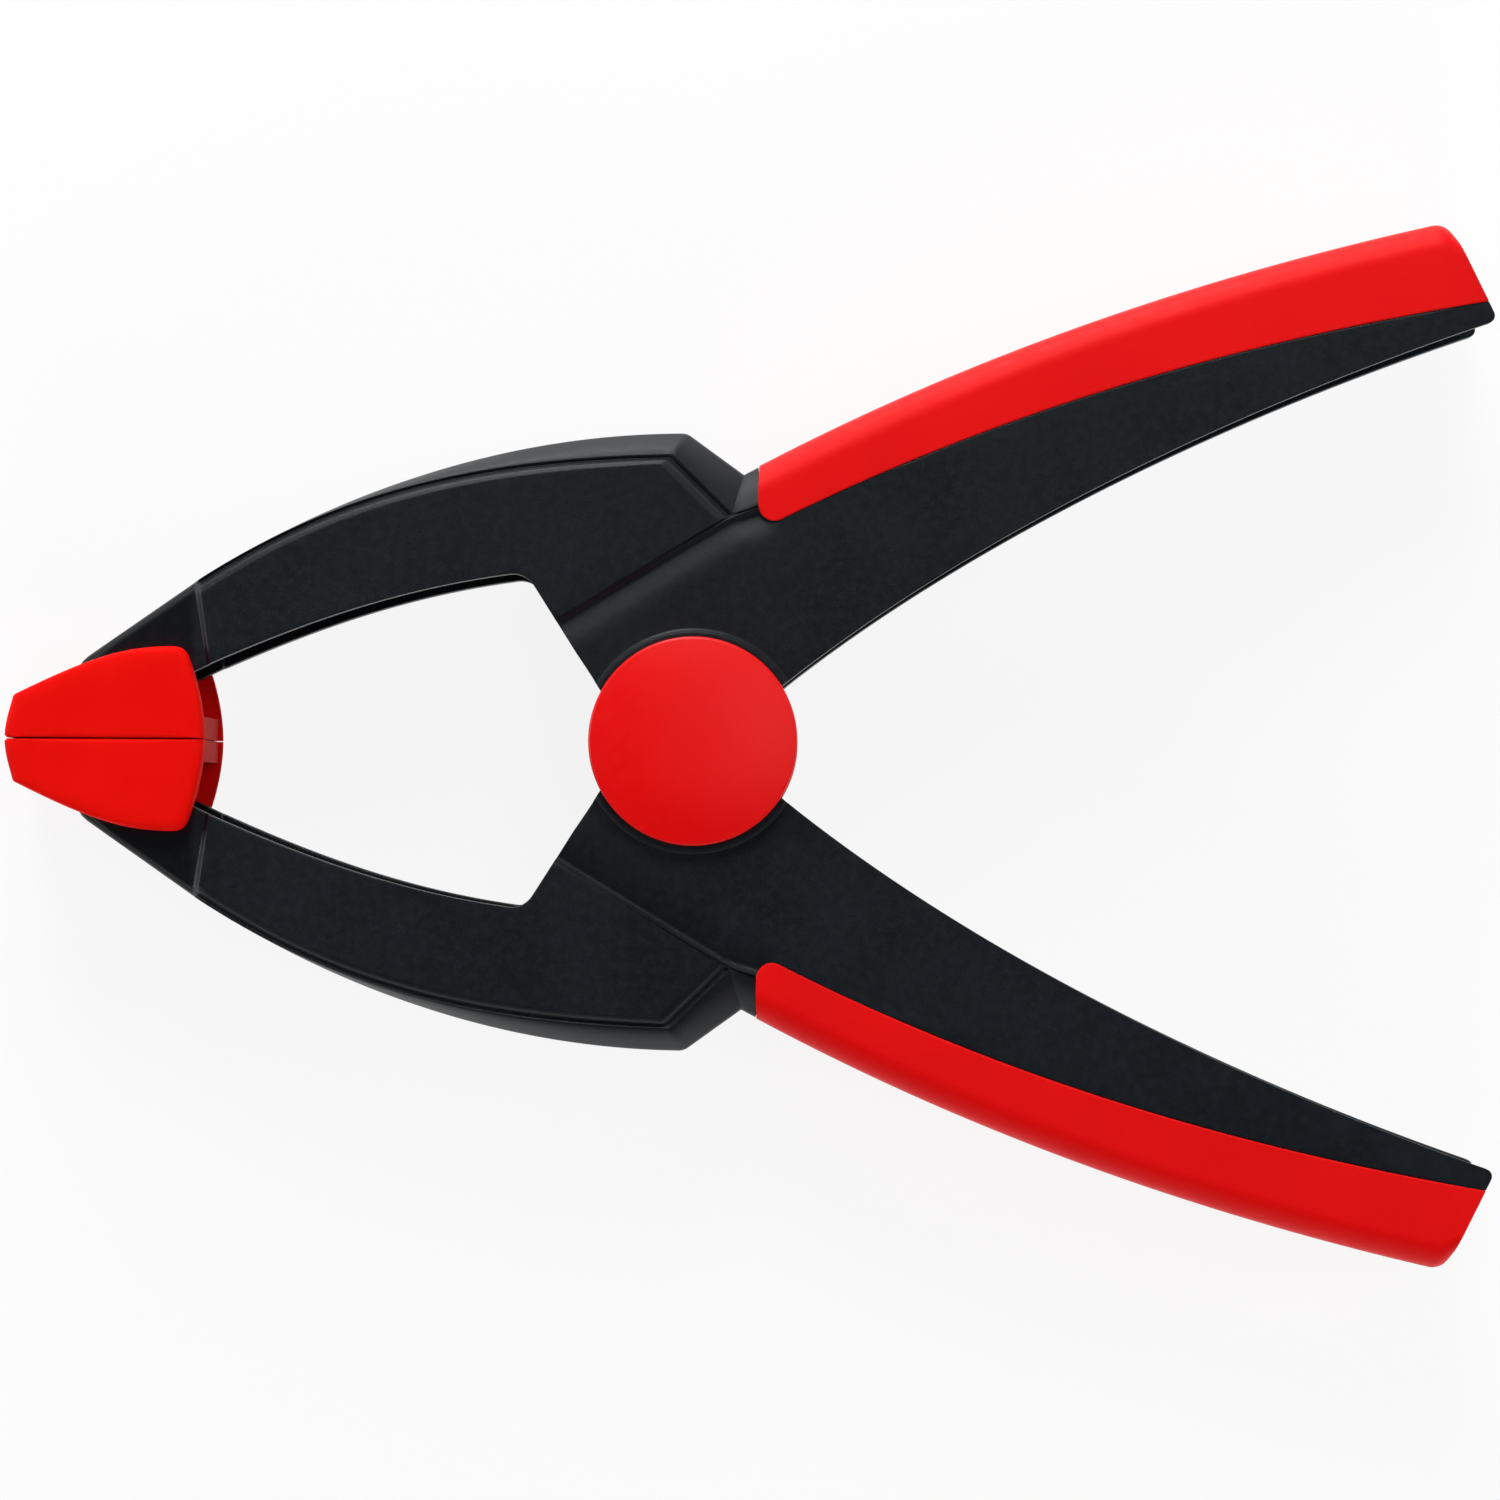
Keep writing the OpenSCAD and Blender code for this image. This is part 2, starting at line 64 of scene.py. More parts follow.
def P(x, y):
    return np.array([x, y], float)


def unit(v):
    return v / np.linalg.norm(v)


def turned(a):
    return P(math.cos(math.radians(a)), math.sin(math.radians(a)))


def left_of(v):
    return P(-v[1], v[0])


def mix(a, b, t):
    return a + (b - a) * t


def clamp01(t):
    return max(0.0, min(1.0, t))


def ease(t):
    t = clamp01(t)
    return t * t * (3 - 2 * t)


def sweep(a, angle_a, pull_a, b, angle_b, pull_b):
    """Bezier points from a to b, leaving and arriving at the given angles with the given pulls."""
    return [a, a + pull_a * turned(angle_a), b - pull_b * turned(angle_b), b]


def bezier(p, t):
    return (1 - t) ** 3 * p[0] + 3 * t * (1 - t) ** 2 * p[1] + 3 * t * t * (1 - t) * p[2] + t ** 3 * p[3]


def slope(p, t):
    return unit((1 - t) ** 2 * (p[1] - p[0]) + 2 * t * (1 - t) * (p[2] - p[1]) + t * t * (p[3] - p[2]))


def samples(p, n):
    return [bezier(p, k / n) for k in range(n + 1)]


def fillet(a, c, b, r, n):
    """n + 1 points round the corner c between a and b, on an arc of radius r."""
    ua, ub = unit(a - c), unit(b - c)
    half = math.acos(float(ua @ ub)) / 2
    mid = c + unit(ua + ub) * r / math.sin(half)
    start, end = c + ua * r / math.tan(half) - mid, c + ub * r / math.tan(half) - mid
    a0 = math.atan2(start[1], start[0])
    turn = math.atan2(start[0] * end[1] - start[1] * end[0], start @ end)
    return [mid + r * P(math.cos(a0 + turn * k / n), math.sin(a0 + turn * k / n)) for k in range(n + 1)]


def quarter(n):
    """n + 1 angles from nothing to a right angle."""
    return np.linspace(0, math.pi / 2, n + 1)


def lift(p, z):
    return np.array([p[0], p[1], z], float)


def below(p):
    """The same point on the other side of the mid-plane."""
    return p * np.array([1, 1, -1])


def rounded(points, cuts, n):
    """An open run of points with each corner cut back by its length and rounded with n + 1 points."""
    out = [points[0]]
    for a, c, b, cut in zip(points, points[1:], points[2:], cuts):
        if not cut:
            out.append(c)
            continue
        la, lb = np.linalg.norm(a - c), np.linalg.norm(b - c)
        start, end = c + (a - c) / la * min(cut, 0.45 * la), c + (b - c) / lb * min(cut, 0.45 * lb)
        out += [(1 - s) ** 2 * start + 2 * s * (1 - s) * c + s * s * end for s in np.linspace(0, 1, n + 1)]
    return out + [points[-1]]


# ---------------------------------------------------------------- meshes

def started(name, verts, faces):
    """A linked object and its mesh, open for editing."""
    mesh = bpy.data.meshes.new(name)
    mesh.from_pydata([tuple(v) for v in verts], [], faces)
    obj = bpy.data.objects.new(name, mesh)
    scene.collection.objects.link(obj)
    bm = bmesh.new()
    bm.from_mesh(mesh)
    return obj, bm


def finished(obj, bm):
    """The object with its mesh written back and its faces turned outwards."""
    bmesh.ops.recalc_face_normals(bm, faces=bm.faces)
    if bm.calc_volume(signed=True) < 0:
        bmesh.ops.reverse_faces(bm, faces=bm.faces)
    bm.to_mesh(obj.data)
    bm.free()
    return obj


def new_object(name, verts, faces):
    obj, bm = started(name, verts, faces)
    bmesh.ops.remove_doubles(bm, verts=bm.verts, dist=WELD)
    return finished(obj, bm)


def loft(name, rings):
    """A closed solid over rings of equal length, with both ends filled."""
    m, last = len(rings[0]), len(rings) - 1
    verts = [v for ring in rings for v in ring]
    faces = [(k * m + j, k * m + (j + 1) % m, (k + 1) * m + (j + 1) % m, (k + 1) * m + j)
             for k in range(last) for j in range(m)]
    obj, bm = started(name, verts, faces)
    bm.verts.ensure_lookup_table()
    for first in (0, last * m):
        ring = [bm.verts[first + j] for j in range(m)]
        edges = [bm.edges.get((ring[j], ring[(j + 1) % m])) for j in range(m)]
        bmesh.ops.triangle_fill(bm, use_beauty=True, use_dissolve=False, edges=edges)
    return finished(obj, bm)


def lathe(name, profile, n=128, centre=(0.0, 0.0)):
    """A closed solid of revolution about Z; the profile is (radius, z) and may start and end on the axis."""
    angles = [2 * math.pi * k / n for k in range(n)]
    verts, rows = [], []
    for r, z in profile:
        if r < WELD:
            rows.append([len(verts)])
            verts.append((centre[0], centre[1], z))
            continue
        rows.append(list(range(len(verts), len(verts) + n)))
        verts += [(centre[0] + r * math.cos(a), centre[1] + r * math.sin(a), z) for a in angles]
    hollow = len(rows[0]) > 1 and len(rows[-1]) > 1
    faces = []
    for a, b in zip(rows, rows[1:] + (rows[:1] if hollow else [])):
        for k in range(n):
            quad = [a[k % len(a)], a[(k + 1) % len(a)], b[(k + 1) % len(b)], b[k % len(b)]]
            face = [v for j, v in enumerate(quad) if v != quad[j - 1]]
            if len(face) > 2:
                faces.append(face)
    return new_object(name, verts, faces)


def disc(name, r, z0, z1, edge=0.3, n=128, centre=(0.0, 0.0)):
    """A round solid from z0 to z1 with rounded edges."""
    high = [(r - edge + edge * math.sin(a), z1 - edge + edge * math.cos(a)) for a in quarter(4)]
    low = [(r - edge + edge * math.cos(a), z0 + edge - edge * math.sin(a)) for a in quarter(4)]
    return lathe(name, [(0, z1)] + high + low + [(0, z0)], n, centre)


def prism(name, outline, z0, z1):
    n = len(outline)
    verts = [lift(p, z0) for p in outline] + [lift(p, z1) for p in outline]
    faces = [(k, (k + 1) % n, n + (k + 1) % n, n + k) for k in range(n)]
    faces += [tuple(range(n))[::-1], tuple(range(n, 2 * n))]
    return new_object(name, verts, faces)


def drop(obj):
    mesh = obj.data
    bpy.data.objects.remove(obj)
    bpy.data.meshes.remove(mesh)


def cut(obj, other, how):
    """Boolean of obj with other, applied; the other object is deleted."""
    mod = obj.modifiers.new("cut", "BOOLEAN")
    mod.operation, mod.object, mod.solver = how, other, "MANIFOLD"
    depsgraph = bpy.context.evaluated_depsgraph_get()
    made = bpy.data.meshes.new_from_object(obj.evaluated_get(depsgraph))
    if not made.polygons:
        raise RuntimeError(f"{how} of {obj.name} and {other.name} left nothing")
    obj.modifiers.clear()
    old, obj.data = obj.data, made
    bpy.data.meshes.remove(old)
    drop(other)
    return obj


def smooth(obj, angle=SHARP_ANGLE):
    """Smooth faces, with the edges over the given angle kept sharp and face-weighted normals."""
    bm = bmesh.new()
    bm.from_mesh(obj.data)
    bmesh.ops.dissolve_degenerate(bm, dist=WELD, edges=bm.edges)
    for face in bm.faces:
        face.smooth = True
    for edge in bm.edges:
        edge.smooth = len(edge.link_faces) == 2 and edge.calc_face_angle(0.0) < math.radians(angle)
    bm.to_mesh(obj.data)
    bm.free()
    mod = obj.modifiers.new("weighted", "WEIGHTED_NORMAL")
    mod.keep_sharp = True
    mod.weight = LARGE_FACE_WEIGHT
    return obj


UPPER = Matrix.Diagonal((MM, MM, MM, 1)) @ Matrix.Translation((0, 0, HALF_STACK))
LOWER = UPPER @ Matrix.Rotation(math.pi, 4, "X")


def place(obj, name, where, body, node, material):
    """Put a copy of obj in the clamp, with its body, the CAD node it stands for, and its finish."""
    piece = obj.copy()
    piece.data = obj.data.copy()
    piece.name = piece.data.name = name
    scene.collection.objects.link(piece)
    piece.data.transform(where)
    piece.data.materials.clear()
    piece.data.materials.append(material)
    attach(piece, body)
    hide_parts(node)


# ---------------------------------------------------------------- materials

def linear(hex_colour):
    parts = [int(hex_colour[k:k + 2], 16) / 255 for k in (1, 3, 5)]
    return tuple(c / 12.92 if c <= 0.04045 else ((c + 0.055) / 1.055) ** 2.4 for c in parts) + (1.0,)


class Shader:
    """A Principled material with helpers for the textures that drive it."""

    def __init__(self, name, colour, roughness, **sockets):
        self.material = bpy.data.materials.new(name)
        self.material.use_nodes = True
        self.tree = self.material.node_tree
        self.bsdf = self.tree.nodes["Principled BSDF"]
        self.bsdf.inputs["Base Color"].default_value = linear(colour)
        self.bsdf.inputs["Roughness"].default_value = roughness
        for socket, value in sockets.items():
            self.bsdf.inputs[socket.replace("_", " ")].default_value = value
        self.coords = self.node("ShaderNodeTexCoord").outputs["Object"]
        self.normal = None

    def node(self, kind, **inputs):
        made = self.tree.nodes.new(kind)
        for socket, value in inputs.items():
            self.link(value, made.inputs[socket.replace("_", " ")])
        return made

    def link(self, value, socket):
        if isinstance(value, bpy.types.NodeSocket):
            self.tree.links.new(value, socket)
        else:
            socket.default_value = value

    def noise(self, scale, detail=3.0, rough=0.5, stretch=None):
        vector = self.coords
        if stretch:
            vector = self.node("ShaderNodeMapping", Vector=self.coords, Scale=stretch).outputs["Vector"]
        made = self.node("ShaderNodeTexNoise", Vector=vector, Scale=scale, Detail=detail, Roughness=rough)
        return made.outputs["Fac"]

    def remap(self, value, low, high, to_low, to_high):
        made = self.node("ShaderNodeMapRange")
        for k, part in enumerate((value, low, high, to_low, to_high)):
            self.link(part, made.inputs[k])
        return made.outputs["Result"]

    def blend_colours(self, factor, colour_a, colour_b):
        made = self.tree.nodes.new("ShaderNodeMix")
        made.data_type = "RGBA"
        self.link(factor, made.inputs["Factor"])
        for socket, colour in (("A", colour_a), ("B", colour_b)):
            value = linear(colour) if isinstance(colour, str) else colour
            self.link(value, [s for s in made.inputs if s.name == socket and s.type == "RGBA"][0])
        return [s for s in made.outputs if s.type == "RGBA"][0]

    def bump(self, height, strength, distance):
        made = self.node("ShaderNodeBump", Height=height, Strength=strength, Distance=distance)
        if self.normal:
            self.tree.links.new(self.normal, made.inputs["Normal"])
        self.normal = made.outputs["Normal"]
        self.tree.links.new(self.normal, self.bsdf.inputs["Normal"])

    def colour(self, socket):
        self.tree.links.new(socket, self.bsdf.inputs["Base Color"])

    def roughness(self, socket):
        self.tree.links.new(socket, self.bsdf.inputs["Roughness"])

    def spread(self, noise, to_low, to_high):
        """The middle range of a noise, where nearly all of it lies, spread over the given one."""
        return self.remap(noise, 0.3, 0.7, to_low, to_high)

    def mottled(self, noise, dark, light):
        """The two colours, mixed by a noise."""
        return self.blend_colours(self.spread(noise, 0, 1), dark, light)

    def satin(self, scale, low, high):
        """A roughness that wanders between two values."""
        self.roughness(self.spread(self.noise(scale), low, high))

    def grain(self, scale, strength, depth=0.00004):
        """The fine texture of a moulding's surface."""
        self.bump(self.noise(scale, 2), strength, depth)


# Over this span of x the nose's painted shade and its smoother finish fade in; then how strong the painted
# shade is, and how much smoother the nose is
NOSE_ZONE = (-0.0606, -0.0598)
NOSE_PAINTED_SHADE = 0.9
NOSE_POLISH = 0.1


def glass_filled_plastic():
    """Black plastic with short fibres; in front of the step the surface is smoother, and its colour is
    darkened there as painted shade.
    """
    s = Shader("glass_filled_plastic", "#0f1419", 0.5, Specular_IOR_Level=0.55)
    fibres = s.noise(900, 4, 0.7)
    base = s.mottled(s.noise(90, 3, 0.6), "#0a0f14", "#10161b")
    base = s.blend_colours(s.remap(fibres, 0.45, 0.75, 0, 0.35), base, "#1a2026")
    x = s.node("ShaderNodeSeparateXYZ", Vector=s.coords).outputs["X"]
    # Painted shade: the nose is blended towards a darker black, standing in for the shadow of the pad and the
    # step
    s.colour(s.blend_colours(s.remap(x, *NOSE_ZONE, NOSE_PAINTED_SHADE, 0), base, "#080c10"))
    polish = s.node("ShaderNodeMath")
    polish.operation = "SUBTRACT"
    s.link(s.spread(fibres, 0.44, 0.53), polish.inputs[0])
    s.link(s.remap(x, *NOSE_ZONE, NOSE_POLISH, 0), polish.inputs[1])
    s.roughness(polish.outputs[0])
    s.grain(5200, 0.18, 0.00005)
    s.bump(s.noise(1400, 3, 0.6), 0.12, 0.00012)
    return s.material


def soft_grip():
    s = Shader("soft_grip", "#dc0406", 0.5, Specular_IOR_Level=0.2, Sheen_Weight=0.05, Sheen_Roughness=0.45)
    s.colour(s.mottled(s.noise(60, 2), "#d80304", "#e00506"))
    s.satin(700, 0.44, 0.55)
    s.grain(4200, 0.1)
    return s.material


def pad_plastic():
    s = Shader("pad_plastic", "#e50d07", 0.6, Specular_IOR_Level=0.05, Subsurface_Weight=0.05)
    s.bsdf.inputs["Subsurface Radius"].default_value = (0.002, 0.0006, 0.0004)
    s.colour(s.mottled(s.noise(120, 2), "#e10c06", "#e80f09"))
    s.satin(900, 0.55, 0.66)
    s.grain(3600, 0.1)
    return s.material


def cap_plastic():
    s = Shader("cap_plastic", "#e00404", 0.4, Specular_IOR_Level=0.45, Coat_Weight=0.05, Coat_Roughness=0.4)
    s.colour(s.mottled(s.noise(80, 2), "#de0304", "#e10405"))
    s.satin(800, 0.34, 0.42)
    s.grain(3800, 0.06)
    return s.material


def drawn_steel(name, colour, roughness, stretch):
    """Bright steel with fine lines, which run along the axis that stretch makes short."""
    s = Shader(name, colour, roughness, Metallic=1.0)
    lines = s.noise(1600, 3, 0.6, stretch=stretch)
    s.roughness(s.spread(lines, roughness - 0.08, roughness + 0.1))
    s.colour(s.blend_colours(s.remap(s.noise(300, 3, 0.6), 0.35, 0.7, 0, 1), colour, "#8e9093"))
    s.bump(lines, 0.12, 0.00004)
    return s.material


def acetal():
    s = Shader("acetal", "#5a5c5f", 0.45)
    s.colour(s.mottled(s.noise(200, 3, 0.6), "#55575a", "#616367"))
    s.grain(3000, 0.08)
    return s.material


ARM = glass_filled_plastic()
GRIP = soft_grip()
PAD = pad_plastic()
CAP = cap_plastic()
WIRE = drawn_steel("spring_wire", "#a9abae", 0.32, (1.0, 1.0, 0.2))
PIN = drawn_steel("pin_steel", "#b9bbbe", 0.3, (0.1, 0.1, 1.0))
SLEEVE = acetal()


# ---------------------------------------------------------------- the arm

# Lengths of the jaw and half widths across the clamp
JAW_REACH = 82.7
PAD_LEN = 24.0
NOSE_HALF_W = 9.6
JAW_HALF_W = 10.6
HUB_HALF_W = 10.6
HANDLE_HALF_W = 10.6
NOSE_SPINE_W = NOSE_HALF_W - 0.8
JAW_SPINE_W = JAW_HALF_W - 1.6
SPINE_HALF_W = 7.0
# Thicknesses, and the depths of the recess for the grip and of the spine under it
SPINE_T = 3.0
WALL_T = 2.4
NOSE_WALL_T = 2.0
HANDLE_WALL_T = 1.6
GRIP_T = 1.8
GRIP_END_T = 3.0
RECESS_D = 1.4
CORE_D = 2.6
# The hub: its inner half width, and the ears' faces above or below the mid-plane
HUB_CORE = 5.95
EAR_R = 12.0
EAR_CLEAR_R = 12.3
EAR_TOP = 11.3
OUTER_EAR = 8.3
INNER_EAR = 8.15
PIN_R = 3.0
PIN_GAP = 0.05
STUD_R = 2.4
STUD_H = 1.7
BITE = 0.5

# Directions of the arm's outlines, in degrees
JAW_BACK_A = 33
JAW_THROAT_A = 24
THROAT_A = -57.6
HANDLE_BACK_A = 28.3
GRIP_LINE_A = 26.5
HANDLE_INNER_A = 38.6
END_A = -63.7

pad_pivot = P(-(JAW_REACH - PAD_LEN / 2), 6.6)
nose_mid = pad_pivot + P(-0.2, 0.4)
step_out = P(-JAW_REACH + 22.7, 19.0)
step_in = P(-JAW_REACH + 24.4, 9.0)
shoulder = P(-1.0, 37.3)
valley = P(5.9, 32.3)
throat_corner = P(-20.3, 20.3)
handle_root = P(11.0, 7.0)
GRIP_START = 7.7
handle_end = P(90.4, 63.1)
tip_out = handle_end + 10.9 * turned(END_A)
tip_in = handle_end + 13.4 * turned(END_A)

jaw_back = sweep(step_out, JAW_BACK_A, 20.6, shoulder - P(1.6, 0.03), 1, 20.6)
jaw_throat = sweep(step_in, JAW_THROAT_A, 12.9, throat_corner - 2.4 * turned(9), 8, 12.9)
crease_line = sweep(step_out + P(0.4, -0.55), 33.5, 21, shoulder + P(-2.9, -3.3), 2, 21)
spine_line = sweep(valley + P(0.1, 0.1), HANDLE_BACK_A, 30, handle_end, 12.5, 30)
grip_corner = P(GRIP_START, 25.35)
grip_line = sweep(grip_corner + 3.25 * turned(GRIP_LINE_A), GRIP_LINE_A, 30, tip_out, 9.5, 30)
handle_inner = sweep(handle_root, HANDLE_INNER_A, 29.2, tip_in, 18.7, 32.2)

diagonal_in = throat_corner + 6.7 * turned(THROAT_A)
crease_corner = shoulder + P(-2.2, -3.3)
crease_end = P(3.9, 27.1)
hub_left = P(-10.2, 4.6)
hub_right = P(9.4, 5.6)

# Half widths of the channel inside the arm, at its spine and at its open side
HANDLE_CAVITY = P(HANDLE_HALF_W - CORE_D - HANDLE_WALL_T, HANDLE_HALF_W - WALL_T)
HUB_CAVITY = P(HUB_CORE, HUB_CORE)
JAW_CAVITY = P(1, 1) * (JAW_HALF_W - WALL_T)
NOSE_CAVITY = P(1, 1) * (NOSE_HALF_W - NOSE_WALL_T)


# The hub's groove: its edge on the jaw's side, and its depth at a distance from that edge
groove_edge = [diagonal_in, crease_end, P(7.65, 28.2)]
GROOVE_FADE_X = 8.0
GROOVE_FADE_LEN = 3.5
GROOVE = [(0.0, 0.0), (0.12, 0.06), (0.3, 0.28), (0.48, 0.5), (0.66, 0.66), (0.85, 0.74), (1.1, 0.74),
          (1.6, 0.62), (2.2, 0.43), (2.8, 0.25), (3.4, 0.11), (4.1, 0.03), (4.8, 0.0)]


def edge_at(s):
    """Point on the groove's upper part, from the jaw's corner to the grip."""
    return mix(groove_edge[1], groove_edge[2], s)


def groove_distance(q):
    """How far q lies on the hub's side of the groove's edge."""
    a, b, c = groove_edge
    n0, n1 = -left_of(unit(b - a)), -left_of(unit(c - b))
    return min((q - b) @ n0, (q - b) @ n1)


def groove_depth(q):
    """Depth of the groove at q, which fades out under the grip."""
    distances, depths = zip(*GROOVE)
    depth = float(np.interp(groove_distance(q), distances, depths, left=0.0, right=0.0))
    return depth * (1 - ease((q[0] - GROOVE_FADE_X) / GROOVE_FADE_LEN))


class Station:
    """One cross-section of the arm.

    o, v and i are its outer point, the edge of its flat side and its inner point.
    spine_w and w are the half widths at o and at the flat side, and cavity holds the channel's.
    edge is the profile from the facet to the flat side.
    """

    def __init__(self, o, v, i, spine_w, w, cavity, edge, grooved=False):
        self.o, self.v, self.i, self.spine_w, self.w, self.cavity = o, v, i, spine_w, w, cavity
        self.edge, self.grooved = edge, grooved

    def core(self):
        """The spine's inner point."""
        depth = self.i - self.o
        return self.o + min(SPINE_T, np.linalg.norm(depth) / 2) * unit(depth)

    def side(self, q):
        """The point of the flat side at q, let down into the groove where there is one."""
        return lift(q, self.w - (groove_depth(q) if self.grooved else 0))

    def panel(self):
        """Points over the flat side from its edge to the inner lip, closer together over the groove."""
        first = self.edge[-1][0] / np.linalg.norm(self.i - self.v)
        if self.grooved:
            d0, d1 = groove_distance(self.v), groove_distance(self.i)
            reach = [clamp01((g - d0) / max(d1 - d0, LEAST_SPAN)) for g, _ in GROOVE[1:]]
            near = [min(LAST_SHARE, max(first + SHARE_STEP * (k + 1), r)) + 2 * SHARE_STEP * k
                    for k, r in enumerate(reach)]
            shares = near + [mix(near[-1], 1, u) for u in (0.25, 0.5, 0.75)]
        else:
            shares = [first + (1 - first) * u for u in PANEL_SHARES]
        return [self.side(mix(self.v, self.i, u)) for u in shares]

    def ring(self):
        inward = unit(self.i - self.v)
        edge = [lift(self.v + d * inward, self.w - depth) for d, depth in self.edge]
        panel = self.panel()
        core, (cavity_0, cavity_1) = self.core(), self.cavity
        outer = lift(self.o, self.spine_w)
        swell = 0 if self.edge is RECESS_EDGE else edge[0][2] - outer[2]
        facet = [mix(outer, edge[0], u) + lift(P(0, 0), h * swell) for u, h in SWELL]
        half = [lift(self.o, 0), outer] + facet + edge + panel
        half += [self.side(self.i), lift(self.i, cavity_1), lift(mix(core, self.i, 0.5), cavity_1),
                 lift(core, cavity_0), lift(core, 0)]
        cuts = [SPINE_CUT] + [0] * len(facet) + [EDGE_CUT] * len(edge) + [0] * len(panel) + INSIDE_CUTS
        half = rounded(half, cuts, 4)
        return half + [below(p) for p in half[-2:0:-1]]


# Shares of the way over the flat side, plain and over the groove
PANEL_SHARES = [0.05 + 0.9 * k / (len(GROOVE) + 1) for k in range(len(GROOVE) + 2)]
LAST_SHARE = 0.985
SHARE_STEP = 0.0004
LEAST_SPAN = 1e-3
# Lengths cut back at a section's corners: at the spine, at the panel's edge, and inside, which is at the
# lip's two corners, the middle of the channel's wall and the channel's floor
SPINE_CUT = 0.7
EDGE_CUT = 0.22
INSIDE_CUTS = [0.18, 0.3, 0, 1.0]
# Edge profiles, as distance inwards from the panel's edge and depth under the panel
PLAIN_EDGE = [(-0.3, 0.35), (-0.15, 0.22), (0.0, 0.12), (0.2, 0.02), (0.4, 0.0)]
CREASE_EDGE = [(-0.68, 0.66), (-0.25, 1.0), (0.1, 0.66), (0.45, 0.24), (1.1, 0.0)]
FACET_EDGE = [(-0.35, 0.52), (-0.12, 0.55), (-0.04, 0.58), (0.03, 0.62), (0.08, 0.66)]
RECESS_EDGE = [(0.0, RECESS_D), (0.02, 0.9), (0.03, 0.6), (0.04, 0.3), (0.06, 0.03)]
# How far the facet swells over a straight line from spine to panel, as shares of its width and depth
SWELL = [(0.15, 0.06), (0.3, 0.11), (0.5, 0.15), (0.7, 0.14), (0.85, 0.09)]


def edge_mix(a, b, s):
    return [(mix(p[0], q[0], s), mix(p[1], q[1], s)) for p, q in zip(a, b)]


def straight(a, b, n):
    """n points from a to b, without a itself."""
    return [mix(a, b, k / n) for k in range(1, n + 1)]


NOSE_R = 3.6
NOSE_AXIS_A = 210
NOSE_ANGLES = (12, 25, 40, 55, 70, 85)
NOSE_FRONT_EDGE = 0.12
NOSE_EDGE = 0.08
NOSE_BACK = 0.55


def nose_stations():
    """Sections over the nose: round its tip, then straight back to the step."""
    def section(o, i, share):
        return Station(o, mix(o, i, share), i, NOSE_SPINE_W, NOSE_HALF_W, NOSE_CAVITY, PLAIN_EDGE)

    out = [section(nose_mid + NOSE_R * turned(NOSE_AXIS_A - a), nose_mid + NOSE_R * turned(NOSE_AXIS_A + a),
                   NOSE_FRONT_EDGE) for a in NOSE_ANGLES]
    tip = out[-1]
    end_o = step_out - NOSE_BACK * turned(JAW_BACK_A + 2)
    end_i = step_in - NOSE_BACK * turned(JAW_THROAT_A + 2)
    out += [section(mix(tip.o, end_o, s), mix(tip.i, end_i, s), NOSE_EDGE) for s in (0.25, 0.5, 0.75, 1.0)]
    return out


# The step from the nose to the wider jaw, as distance along the jaw and share of the rise
STEP_PROFILE = [(-0.3, 0.0), (-0.2, 0.08), (-0.06, 0.5), (0.08, 0.82), (0.25, 0.96)]
JAW_N = 36
SHOULDER_N = 6
VALLEY_N = 6
THROAT_TURN_N = 9
SHOULDER_R = 2
CREASE_R = 0.8
THROAT_R = 3
CREASE_FROM = 0.4


def jaw_stations():
    """Sections over the step, along the jaw, and round the shoulder down to the valley.

    The throat's corner takes more points than the shoulder's, so that side has fewer along the jaw.
    """
    outer = samples(jaw_back, JAW_N) + fillet(jaw_back[3], shoulder, valley, SHOULDER_R, SHOULDER_N)
    crease = samples(crease_line, JAW_N)
    crease += fillet(crease_line[3], crease_corner, crease_end, CREASE_R, SHOULDER_N)
    inner = samples(jaw_throat, JAW_N + SHOULDER_N - THROAT_TURN_N)
    inner += fillet(jaw_throat[3], throat_corner, diagonal_in, THROAT_R, THROAT_TURN_N)
    outer += straight(outer[-1], valley, VALLEY_N)
    crease += straight(crease[-1], crease_end, VALLEY_N)
    inner += straight(inner[-1], diagonal_in, VALLEY_N)
    out = []
    for offset, s in STEP_PROFILE:
        o, i = step_out + offset * turned(JAW_BACK_A), step_in + offset * turned(JAW_THROAT_A)
        v = mix(o, i, NOSE_EDGE) if s < CREASE_FROM else crease_line[0] + offset * turned(JAW_BACK_A)
        out.append(Station(o, v, i, mix(NOSE_SPINE_W, JAW_SPINE_W, s), mix(NOSE_HALF_W, JAW_HALF_W, s),
                           mix(NOSE_CAVITY, JAW_CAVITY, s), edge_mix(PLAIN_EDGE, CREASE_EDGE, s)))
    last = len(outer) - 1
    for k in range(1, last + 1):
        spine_w = mix(JAW_SPINE_W, SPINE_HALF_W, min(1, 2 * k / JAW_N))
        cavity = mix(JAW_CAVITY, HUB_CAVITY, clamp01((k - JAW_N) / (last - JAW_N)))
        out.append(Station(outer[k], crease[k], inner[k], spine_w, JAW_HALF_W, cavity, CREASE_EDGE))
    return out


def hub_stations():
    """Sections that fan out from the valley: over the groove first, then along the hub's inner edge."""
    fan = [diagonal_in + g * turned(THROAT_A) for g, _ in GROOVE[1:]]
    stops = [fan[-1], mix(diagonal_in, hub_left, 0.6), hub_left, P(-3, 4.0), P(3, 4.2)]
    inner = fan + [q for a, b in zip(stops, stops[1:]) for q in straight(a, b, 3)]
    grip_front = P(GRIP_START - 0.06, 33.22)
    out = []
    for k, i in enumerate(inner):
        s = (k + 1) / len(inner)
        out.append(Station(mix(valley, grip_front, s), edge_at(s), i, SPINE_HALF_W, HUB_HALF_W, HUB_CAVITY,
                           edge_mix(CREASE_EDGE, FACET_EDGE, min(1, 0.3 + 3 * s)), True))
    return out


# The spine's share at which the grip's straight part starts, and the sections along it
SPINE_FROM = 0.035
HANDLE_N = 40


def spine_at(s):
    return SPINE_FROM + (1 - SPINE_FROM) * s


